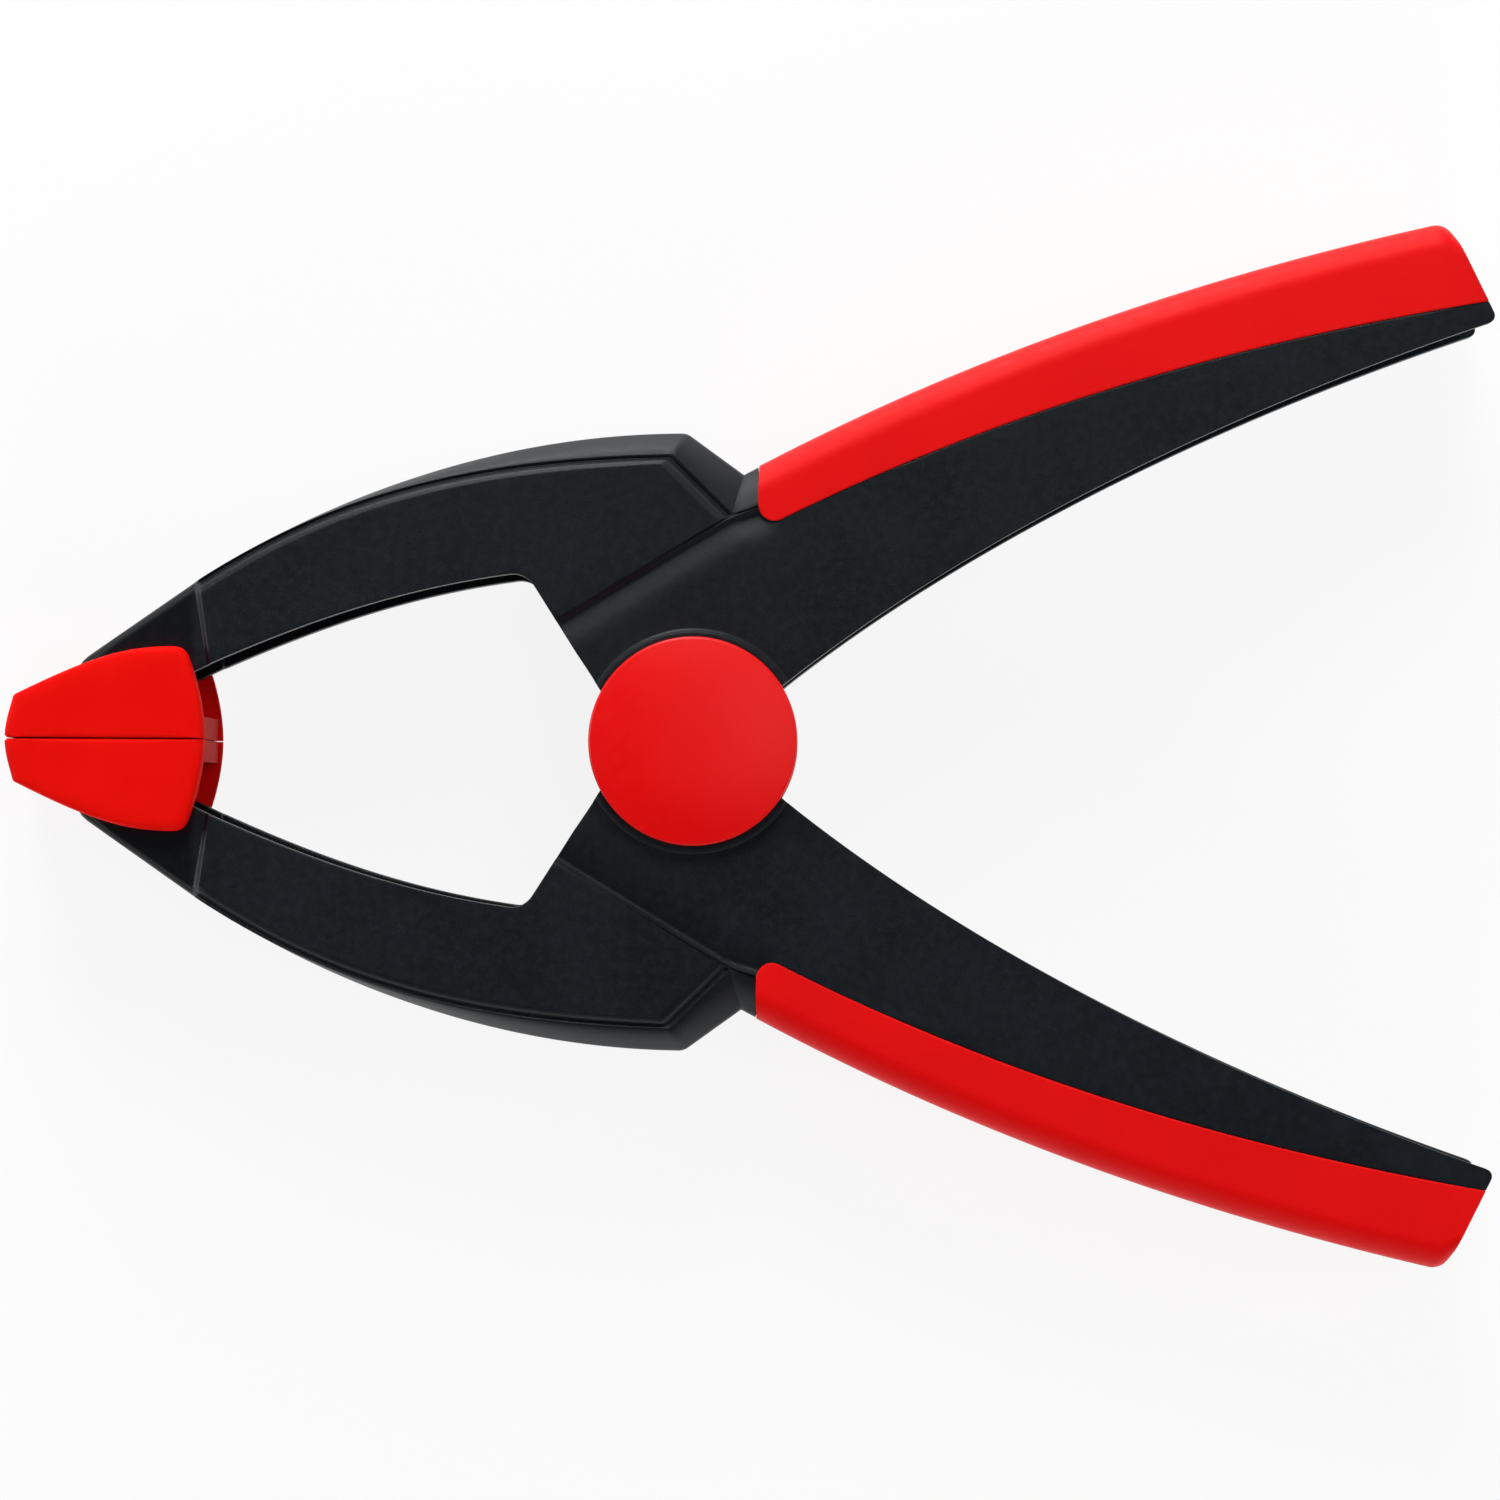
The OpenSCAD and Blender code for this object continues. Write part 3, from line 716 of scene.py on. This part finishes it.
def grip_inward(t):
    """Direction from the spine's outer line into the arm, along the end face at the handle's end."""
    inward = -left_of(slope(spine_line, t))
    if t < 1:
        return inward
    return turned(END_A) / abs(turned(END_A) @ inward)


def recess_station(o, v, i, w, cavity):
    return Station(o, v, i, w - CORE_D, w, cavity, RECESS_EDGE, True)


FRONT_N = 9
FRONT_R = 1.9
SPINE_FRONT = 33.2 - GRIP_T / math.cos(math.radians(HANDLE_BACK_A))
front_inner = [P(5.2, 4.6), P(6.8, 4.9), P(8.2, 5.2), hub_right]
TIP_R = 0.9
TIP_N = 5
# Where the handle's inner corner starts: on its inner line, and on the recess over it
TIP_INNER_FROM = 0.98
TIP_CORE_FROM = 0.988


def front_round():
    """The rounded front corner of the recess for the grip."""
    return fillet(grip_corner + P(0, 6), grip_corner, grip_line[0], FRONT_R, FRONT_N)


def front_core(q):
    """Outer point of the arm under the grip's front, for q from 0 to 3."""
    return P(GRIP_START + 0.45 * q, SPINE_FRONT + 0.24 * q)


def handle_core(s):
    """Outer point of the arm's spine under the grip, which thickens over the last sixteenth of the handle."""
    depth = mix(GRIP_T, GRIP_END_T, max(0, 16 * s - 15))
    return bezier(spine_line, spine_at(s)) + depth * grip_inward(spine_at(s))


def from_hub(s, at_hub, at_handle):
    """A width that changes over the first quarter of the handle."""
    return mix(at_hub, at_handle, min(1, 4 * s))


def handle_stations():
    """Sections under the grip: round its front corner, along the handle, and round the tip's inner corner."""
    out = []
    for k, v in enumerate(front_round()):
        q = 3 * k / FRONT_N
        j = min(2, int(q))
        i = mix(front_inner[j], front_inner[j + 1], q - j)
        out.append(recess_station(front_core(q), v, i, HUB_HALF_W, HUB_CAVITY))
    corner = fillet(bezier(handle_inner, TIP_INNER_FROM), tip_in, tip_out, TIP_R, TIP_N)
    along = [(k / HANDLE_N, bezier(handle_inner, k / HANDLE_N)) for k in range(HANDLE_N)]
    along += [(mix(TIP_CORE_FROM, 1, k / TIP_N), i) for k, i in enumerate(corner)]
    for s, i in along:
        w, cavity = from_hub(s, HUB_HALF_W, HANDLE_HALF_W), from_hub(s, HUB_CAVITY, HANDLE_CAVITY)
        out.append(recess_station(handle_core(s), bezier(grip_line, s), i, w, cavity))
    return out


BOSS_PROFILE = [(0, EAR_TOP), (12.95, EAR_TOP), (13.1, 11.24), (13.2, 11.08), (13.35, 10.78), (13.55, 10.63),
                (13.9, 10.58), (13.9, 10.1), (0, 10.1)]
SECTOR_H = EAR_TOP + 0.7


def boss(front):
    """The round rise of the hub's side round the ear, within the arm's own outline."""
    made = lathe("boss", BOSS_PROFILE)
    if not front:
        made.data.transform(Matrix.Rotation(math.pi, 4, "X"))
    sector = [throat_corner + 12.6 * turned(THROAT_A), hub_left, hub_right, handle_root,
              handle_root + 8 * turned(HANDLE_INNER_A), P(10, 22), P(-12, 22)]
    return cut(made, prism("sector", sector, -SECTOR_H, SECTOR_H), "INTERSECT")


RIB_T = 1.8
RIB_BITE = 0.6
# Sections of the jaw and the handle that hold a rib, each with the share of the channel that it fills
JAW_RIBS = [(3, 0.8), (18, 0.8), (30, 0.7)]
HANDLE_RIBS = [(20, 0.75), (30, 0.8), (38, 0.9)]


def rib(s, depth):
    """A rib across the channel at the section s, sunk into the spine and the walls."""
    inward = unit(s.i - s.o)
    side = left_of(inward) * RIB_T / 2
    core_d = np.linalg.norm(s.core() - s.o)
    channel = np.linalg.norm(s.i - s.o) - core_d
    edge = [(core_d - RIB_BITE, s.cavity[0] - RIB_BITE)]
    edge += [(core_d + f * channel, mix(s.cavity[0], s.cavity[1], min(1, 2 * f)) + RIB_BITE)
             for f in (0, 0.5, depth)]
    half = [(s.o + d * inward, z) for d, z in edge]
    loop = half + [(p, -z) for p, z in half[::-1]]
    return loft("rib", [[lift(p + side, z) for p, z in loop], [lift(p - side, z) for p, z in loop]])


# Rounding of the studs' rims and of the cutting tools, and how far a tool reaches past what it cuts
STUD_ROUND = 0.25
TOOL_ROUND = 0.02
PAST = 1


def arm_moulding():
    nose, jaw, hub, handle = nose_stations(), jaw_stations(), hub_stations(), handle_stations()
    arm = loft("arm", [s.ring() for s in nose + jaw + hub + handle])
    for front in (True, False):
        cut(arm, boss(front), "UNION")
    cut(arm, disc("outer_ear", EAR_R, OUTER_EAR, EAR_TOP), "UNION")
    cut(arm, disc("inner_ear", EAR_R, -INNER_EAR, -HUB_CORE), "UNION")
    for z0, z1 in ((-NOSE_HALF_W - STUD_H, -NOSE_HALF_W + BITE), (NOSE_HALF_W - BITE, NOSE_HALF_W + STUD_H)):
        cut(arm, disc("stud", STUD_R, z0, z1, STUD_ROUND, 48, pad_pivot), "UNION")
    along_jaw = jaw[len(STEP_PROFILE) - 1:]
    along_handle = handle[FRONT_N + 1:]
    for stations, ribs in ((along_jaw, JAW_RIBS), (along_handle, HANDLE_RIBS)):
        for k, depth in ribs:
            cut(arm, rib(stations[k], depth), "UNION")
    cut(arm, disc("clear_front", EAR_CLEAR_R, HUB_CORE - PAST, OUTER_EAR, TOOL_ROUND), "DIFFERENCE")
    cut(arm, disc("clear_rear", EAR_CLEAR_R, -EAR_TOP - PAST, -INNER_EAR, TOOL_ROUND), "DIFFERENCE")
    cut(arm, disc("bore", PIN_R + PIN_GAP, -EAR_TOP - PAST, EAR_TOP + PAST, TOOL_ROUND, 64), "DIFFERENCE")
    return smooth(arm)


# ---------------------------------------------------------------- the grip

GRIP_PROUD = 0.15
GRIP_ROUND = 3.4
GRIP_GAP = 0.03
GRIP_EDGE_CUT = 0.3
GRIP_END_R = 2.2
GRIP_END_N = 8
GRIP_INNER_N = 5
GRIP_ARC_N = 8


def grip_ring(o, core, g, w):
    """Cross-section of the soft grip from its outer point over the arm's core point to its lower edge."""
    n = unit(core - o)
    top, r = w + GRIP_PROUD, GRIP_ROUND
    arc = [lift(o + n * r * (1 - math.cos(a)), top - r + r * math.sin(a)) for a in quarter(GRIP_ARC_N)]
    core = core - GRIP_GAP * n
    inner = [lift(mix(core, g, j / GRIP_INNER_N), w - mix(CORE_D, RECESS_D, j / GRIP_INNER_N) + GRIP_GAP)
             for j in range(GRIP_INNER_N)]
    lower = lift(g, top)
    half = [lift(o, 0)] + arc + [mix(arc[-1], lower, 0.5), lower, lift(g, w - RECESS_D + GRIP_GAP)]
    half += inner[::-1] + [lift(core, 0)]
    cuts = [0] * (len(arc) + 1) + [GRIP_EDGE_CUT] + [0] * (len(inner) + 1)
    half = rounded(half, cuts, 3)
    return half + [below(p) for p in half[-2:0:-1]]


def grip_moulding():
    """The grip's sections: behind its front edge, along the handle, and round the end."""
    start_x, pull_x = spine_line[0][0], spine_line[1][0] - spine_line[0][0]
    front_t = (GRIP_START + 0.05 - start_x) / (3 * pull_x)
    rings = []
    for k, g in enumerate(front_round()):
        o = bezier(spine_line, mix(front_t, SPINE_FROM, k / (FRONT_N + 1)))
        rings.append(grip_ring(o, front_core(3 * k / FRONT_N), g, HUB_HALF_W))
    for k in range(HANDLE_N):
        s = k / HANDLE_N
        rings.append(grip_ring(bezier(spine_line, spine_at(s)), handle_core(s), bezier(grip_line, s),
                               from_hub(s, HUB_HALF_W, HANDLE_HALF_W)))
    before = 1 - 1 / HANDLE_N
    end_from = bezier(spine_line, spine_at(before))
    arc = fillet(end_from, handle_end, tip_out, GRIP_END_R, GRIP_END_N)
    round_from = 1 - np.linalg.norm(arc[0] - handle_end) / np.linalg.norm(end_from - handle_end)
    for k, o in enumerate(arc):
        s = mix(round_from, 1, k / GRIP_END_N)
        rings.append(grip_ring(o, mix(handle_core(before), handle_core(1), s),
                               mix(bezier(grip_line, before), bezier(grip_line, 1), s), HANDLE_HALF_W))
    return smooth(loft("grip", rings))


# ---------------------------------------------------------------- the pad

PAD_TIP = -JAW_REACH
PAD_REAR = PAD_TIP + PAD_LEN
PAD_H = 11.1
PAD_HALF_W = 12.5
PAD_FACE_Y = 0.05
PAD_BASE_T = 2.7
PAD_FRONT_CUT = 0.3
PAD_HEEL_CUT = 0.5
PAD_FACE_N = 12
POCKET_FRONT = 5.2
POCKET_GAP = 0.25
POCKET_BEVEL = 1.5
SOCKET_GAP = 0.1
SOCKET_SPARE = 0.2
SOCKET_ROUND = 0.05
PAD_GROOVES = 7
PAD_GROOVE_FROM = 3.4
PAD_GROOVE_PITCH = 2.6
PAD_GROOVE_W = 1.1
PAD_GROOVE_D = 0.45
PAD_GROOVE_LAND = 2.4
# The cheek's dome: share of the outline, and depth under its highest point
PAD_CROWN = [(0.3, 0.0), (0.55, 0.02), (0.75, 0.07), (0.87, 0.15), (0.925, 0.25), (0.955, 0.4), (0.975, 0.62),
             (0.99, 0.95), (1.0, 1.5)]
PAD_MIDDLE = P(PAD_TIP + 0.53 * PAD_LEN, 0.42 * PAD_H)


def pad_outline():
    """The pad from the side: up its front, over its back and down its heel, without the gripping face."""
    front = sweep(P(PAD_TIP, PAD_FACE_Y + PAD_FRONT_CUT), 87, 1.5, P(PAD_TIP + 0.8, 4.3), 74, 1.3)
    back = sweep(P(PAD_TIP + 2.0, 5.67), 26.3, 10, P(PAD_REAR - 4.4, PAD_H), 1.5, 5)
    heel = sweep(P(PAD_REAR - 1.95, PAD_H - 1.3), -69, 3.2, P(PAD_REAR, PAD_FACE_Y), -90, 3.2)
    return ([P(PAD_TIP + PAD_FRONT_CUT, PAD_FACE_Y)] + samples(front, 8)
            + fillet(front[3], P(PAD_TIP + 1.04, 5.2), back[0], 0.7, 5) + samples(back, 20)
            + fillet(back[3], P(PAD_REAR - 2.45, PAD_H), heel[0], 1.8, 6) + samples(heel, 14))


def crowned(p, share):
    """The cheek's outline drawn in to the given share, less so near the gripping face."""
    up = mix(1, share, 0.2 + 0.8 * min(1, p[1] / 3))
    return P(mix(PAD_MIDDLE[0], p[0], share), mix(PAD_MIDDLE[1], p[1], up))


def pad_moulding():
    """The pad: a domed solid with a pocket for the nose, sockets for its studs and grooves over its face."""
    face_len = PAD_LEN - PAD_FRONT_CUT
    face = [P(PAD_REAR - face_len * k / PAD_FACE_N, PAD_FACE_Y) for k in range(1, PAD_FACE_N)]
    loop = pad_outline() + face
    side = [(s, PAD_HALF_W - z) for s, z in PAD_CROWN]
    rings = [[lift(crowned(p, s), z) for p in loop] for s, z in side + [(s, -z) for s, z in side[::-1]]]
    pad = loft("pad", rings)

    front, heel, past = pad_pivot[0] - POCKET_FRONT, PAD_REAR - PAD_HEEL_CUT, PAD_REAR + 5
    pocket = [P(front, PAD_BASE_T + POCKET_BEVEL), P(front + POCKET_BEVEL, PAD_BASE_T), P(heel, PAD_BASE_T),
              P(heel, -PAST), P(past, -PAST), P(past, PAD_H + 5), P(front, PAD_H + 5)]
    half_w = NOSE_HALF_W + POCKET_GAP
    cut(pad, prism("pocket", pocket, -half_w, half_w), "DIFFERENCE")
    reach = NOSE_HALF_W + STUD_H + SOCKET_SPARE
    cut(pad, disc("socket", STUD_R + SOCKET_GAP, -reach, reach, SOCKET_ROUND, 48, pad_pivot), "DIFFERENCE")
    half_w = PAD_HALF_W - PAD_GROOVE_LAND
    for k in range(PAD_GROOVES):
        x0 = PAD_TIP + PAD_GROOVE_FROM + PAD_GROOVE_PITCH * k
        x1 = x0 + PAD_GROOVE_W
        groove = [P(x0, -PAST), P(x1, -PAST), P(x1, PAD_GROOVE_D), P(x0, PAD_GROOVE_D)]
        cut(pad, prism("groove", groove, -half_w, half_w), "DIFFERENCE")
    return smooth(pad)


# ---------------------------------------------------------------- cap and spring

CAP_R = 12.54
CAP_Z = EAR_TOP + 0.1
CAP_T = 2.6
CAP_SKIN_T = 0.9
CAP_RECESS_R = 5.9
CAP_BEVEL = 0.15
CAP_RIM_H = 1.2
CAP_RIM_R = 0.4
CAP_DOME_POWER = 2.6
CAP_DOME_N = 14
CAP_RIM_N = 8


def cap_moulding():
    """A shallow dome down to a rounded rim, with a recess below for the pin's end."""
    top, inside, rim_z = CAP_Z + CAP_T, CAP_Z + CAP_T - CAP_SKIN_T, CAP_Z + CAP_RIM_H
    hollow = [(0, inside), (CAP_RECESS_R, inside), (CAP_RECESS_R, CAP_Z)]
    bevel = [(CAP_R - CAP_BEVEL, CAP_Z), (CAP_R, CAP_Z + CAP_BEVEL)]
    rim = [(CAP_R - CAP_RIM_R + CAP_RIM_R * math.cos(a), rim_z + CAP_RIM_R * math.sin(a))
           for a in quarter(CAP_RIM_N)]
    rise = CAP_T - CAP_RIM_H - CAP_RIM_R
    dome = [(s * (CAP_R - CAP_RIM_R), top - rise * s ** CAP_DOME_POWER)
            for s in np.linspace(1, 0, CAP_DOME_N + 1)[1:]]
    return smooth(lathe("cap", hollow + bevel + rim + dome))


WIRE_R = 1.2
WIRE_SIDES = 14
WIRE_END_SHARE = 0.86
WIRE_SHARP_ANGLE = 40
COIL_R = 7.2
COIL_GAP = 0.45
COIL_TURNS = 3
COIL_N = 40
LEG_N = 24
LEG_AT = 0.42
LEG_GAP = 0.1


def spring_path():
    """The wire's middle line, from the end of the lower leg to that of the upper one, and the coil's height.

    Each leg runs straight off the coil to the inside of its handle's spine, at LEG_AT of the spine's line.
    """
    end = bezier(spine_line, LEG_AT) + (GRIP_T + SPINE_T + WIRE_R + LEG_GAP) * grip_inward(LEG_AT)
    leg_a = math.degrees(math.atan2(end[1], end[0]) + math.acos(COIL_R / np.linalg.norm(end)))
    turns = COIL_TURNS + (360 - 2 * leg_a) / 360
    height = turns * (2 * WIRE_R + COIL_GAP)
    n = int(turns * COIL_N)
    coil = [lift(COIL_R * turned(-leg_a - 360 * turns * k / n), height * (k / n - 0.5)) for k in range(n + 1)]
    low, high = lift(P(end[0], -end[1]), -height / 2), lift(end, height / 2)
    low_leg = [mix(low, coil[0], k / LEG_N) for k in range(LEG_N)]
    return low_leg + coil + straight(coil[-1], high, LEG_N), height


def spring_wire():
    """The whole spring, with both ends of the wire a little drawn in, and the coil's height."""
    path, height = spring_path()
    angles = [2 * math.pi * j / WIRE_SIDES for j in range(WIRE_SIDES)]
    rings = []
    for k, p in enumerate(path):
        along = unit(path[min(k + 1, len(path) - 1)] - path[max(k - 1, 0)])
        side = unit(np.cross([0, 0, 1], along))
        up = np.cross(along, side)
        r = WIRE_R * (WIRE_END_SHARE if k in (0, len(path) - 1) else 1.0)
        rings.append([p + r * (side * math.cos(a) + up * math.sin(a)) for a in angles])
    return smooth(loft("wire", rings), WIRE_SHARP_ANGLE), height


# ---------------------------------------------------------------- the clamp

def build():
    """All dressed pieces of the clamp, and the finish of the pieces that keep their CAD meshes."""
    arm, grip, pad, cap = arm_moulding(), grip_moulding(), pad_moulding(), cap_moulding()
    for side, where in (("upper", UPPER), ("lower", LOWER)):
        place(arm, f"{side}_arm_moulding", where, side, f"{side}_arm", ARM)
        place(grip, f"{side}_grip_moulding", where, side, f"{side}_grip", GRIP)
        place(pad, f"{side}_pad_moulding", where, f"{side}_pad", f"{side}_pad", PAD)
    place(cap, "front_cap_moulding", UPPER, "lower", "front_cap", CAP)
    place(cap, "rear_cap_moulding", LOWER, "lower", "rear_cap", CAP)
    for obj in (arm, grip, pad, cap):
        drop(obj)

    wire, height = spring_wire()
    wire.data.transform(UPPER)
    wire.name = wire.data.name = "torsion_spring_wire"
    wire.data.materials.append(WIRE)
    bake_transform(wire)
    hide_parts("torsion_spring")

    for node, material in (("pivot_pin", PIN), ("pin_retainer", PIN), ("spring_sleeve", SLEEVE)):
        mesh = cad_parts[node].data
        mesh.materials.clear()
        mesh.materials.append(material)


# ---------------------------------------------------------------- stage

FLOOR_HALF = 3.0
FLOOR_Z = -0.0002
FLOOR_GREY = 0.86
# How much of the floor's own white the camera, mirrors and glass see instead of the lit floor
FLOOR_WHITE = 0.88


def floor_material():
    """Grey to the light, so that shadows fall on it, and mostly plain white to the eye and in reflections."""
    material = bpy.data.materials.new("floor")
    material.use_nodes = True
    tree = material.node_tree
    tree.nodes.clear()
    out = tree.nodes.new("ShaderNodeOutputMaterial")
    diffuse = tree.nodes.new("ShaderNodeBsdfDiffuse")
    diffuse.inputs["Color"].default_value = (FLOOR_GREY, FLOOR_GREY, FLOOR_GREY, 1)
    glow = tree.nodes.new("ShaderNodeEmission")
    glow.inputs["Color"].default_value = (1, 1, 1, 1)
    path = tree.nodes.new("ShaderNodeLightPath")
    share = tree.nodes.new("ShaderNodeMath")
    share.operation = "MULTIPLY"
    share.inputs[1].default_value = FLOOR_WHITE
    seen = path.outputs["Is Camera Ray"]
    for ray in ("Is Glossy Ray", "Is Transmission Ray"):
        either = tree.nodes.new("ShaderNodeMath")
        either.operation = "MAXIMUM"
        tree.links.new(seen, either.inputs[0])
        tree.links.new(path.outputs[ray], either.inputs[1])
        seen = either.outputs[0]
    tree.links.new(seen, share.inputs[0])
    both = tree.nodes.new("ShaderNodeMixShader")
    tree.links.new(share.outputs[0], both.inputs[0])
    tree.links.new(diffuse.outputs[0], both.inputs[1])
    tree.links.new(glow.outputs[0], both.inputs[2])
    tree.links.new(both.outputs[0], out.inputs["Surface"])
    return material


def floor():
    corners = [(x * FLOOR_HALF, y * FLOOR_HALF, 0) for x, y in ((-1, -1), (1, -1), (1, 1), (-1, 1))]
    mesh = bpy.data.meshes.new("floor")
    mesh.from_pydata(corners, [], [(0, 1, 2, 3)])
    mesh.materials.append(floor_material())
    obj = bpy.data.objects.new("floor", mesh)
    obj.location.z = FLOOR_Z
    scene.collection.objects.link(obj)


# Name, place, diameter and watts of each lamp, and whether glossy surfaces mirror it
LAMPS = [
    ("key", (-0.1, 0.9, 0.4), 0.5, 6.0, False),
    ("top", (0.25, 0.1, 0.9), 0.5, 2.0, False),
    ("fill", (0.1, -0.9, 0.4), 0.5, 3.6, False),
    ("rim", (-0.2, 0.95, 0.06), 0.4, 3.5, True),
    ("upper", (-0.05, 0.75, 0.68), 0.35, 2.8, True),
    ("left", (-0.9, 0.1, 0.3), 0.4, 2.6, True),
    ("right", (0.9, 0.1, 0.45), 0.4, 1.8, False),
]
LAMP_TARGET = Vector((0, 0, 0.01))
# The world fades from white near the horizon to nearly black overhead: two heights, then two brightnesses
WORLD_FADE = (0.15, 0.55, 1.0, 0.03)
WORLD_STRENGTH = 0.5


def area_light(name, location, size, watts, mirrored):
    light = bpy.data.lights.new(name, "AREA")
    light.shape, light.size, light.energy = "DISK", size, watts
    obj = bpy.data.objects.new(name, light)
    obj.location = location
    obj.rotation_mode = "QUATERNION"
    obj.rotation_quaternion = (LAMP_TARGET - Vector(location)).to_track_quat("-Z", "Y")
    obj.visible_glossy = mirrored
    scene.collection.objects.link(obj)


def lights():
    world = bpy.data.worlds.new("studio")
    world.use_nodes = True
    tree = world.node_tree
    back = tree.nodes["Background"]
    up = tree.nodes.new("ShaderNodeSeparateXYZ")
    tree.links.new(tree.nodes.new("ShaderNodeTexCoord").outputs["Generated"], up.inputs[0])
    fade = tree.nodes.new("ShaderNodeMapRange")
    for k, part in enumerate(WORLD_FADE):
        fade.inputs[k + 1].default_value = part
    tree.links.new(up.outputs["Z"], fade.inputs[0])
    tree.links.new(fade.outputs["Result"], back.inputs["Color"])
    back.inputs["Strength"].default_value = WORLD_STRENGTH
    scene.world = world
    for lamp in LAMPS:
        area_light(*lamp)


SENSOR_MM = 36
LENS_MM = 130
CAMERA_AIM = Vector((0.00684, -0.0010, 0.0246))
CAMERA_DISTANCE = 0.65
CAMERA_LEAN = Vector((0.00876, -0.01397, 1.0))
CAMERA_ROLL_A = 0.3


def camera():
    """The photograph's view: nearly straight down the pivot, with a little lean and roll."""
    data = bpy.data.cameras.new("camera")
    data.sensor_width = SENSOR_MM
    data.lens = LENS_MM
    obj = bpy.data.objects.new("camera", data)
    eye = CAMERA_AIM + CAMERA_DISTANCE * CAMERA_LEAN
    back = (eye - CAMERA_AIM).normalized()
    roll = math.radians(CAMERA_ROLL_A)
    right = Vector((math.cos(roll), math.sin(roll), 0))
    right = (right - back * right.dot(back)).normalized()
    up = back.cross(right)
    obj.matrix_world = Matrix.Translation(eye) @ Matrix((right, up, back)).transposed().to_4x4()
    scene.collection.objects.link(obj)
    scene.camera = obj


build()
floor()
lights()
camera()
scene.view_settings.view_transform = "Standard"
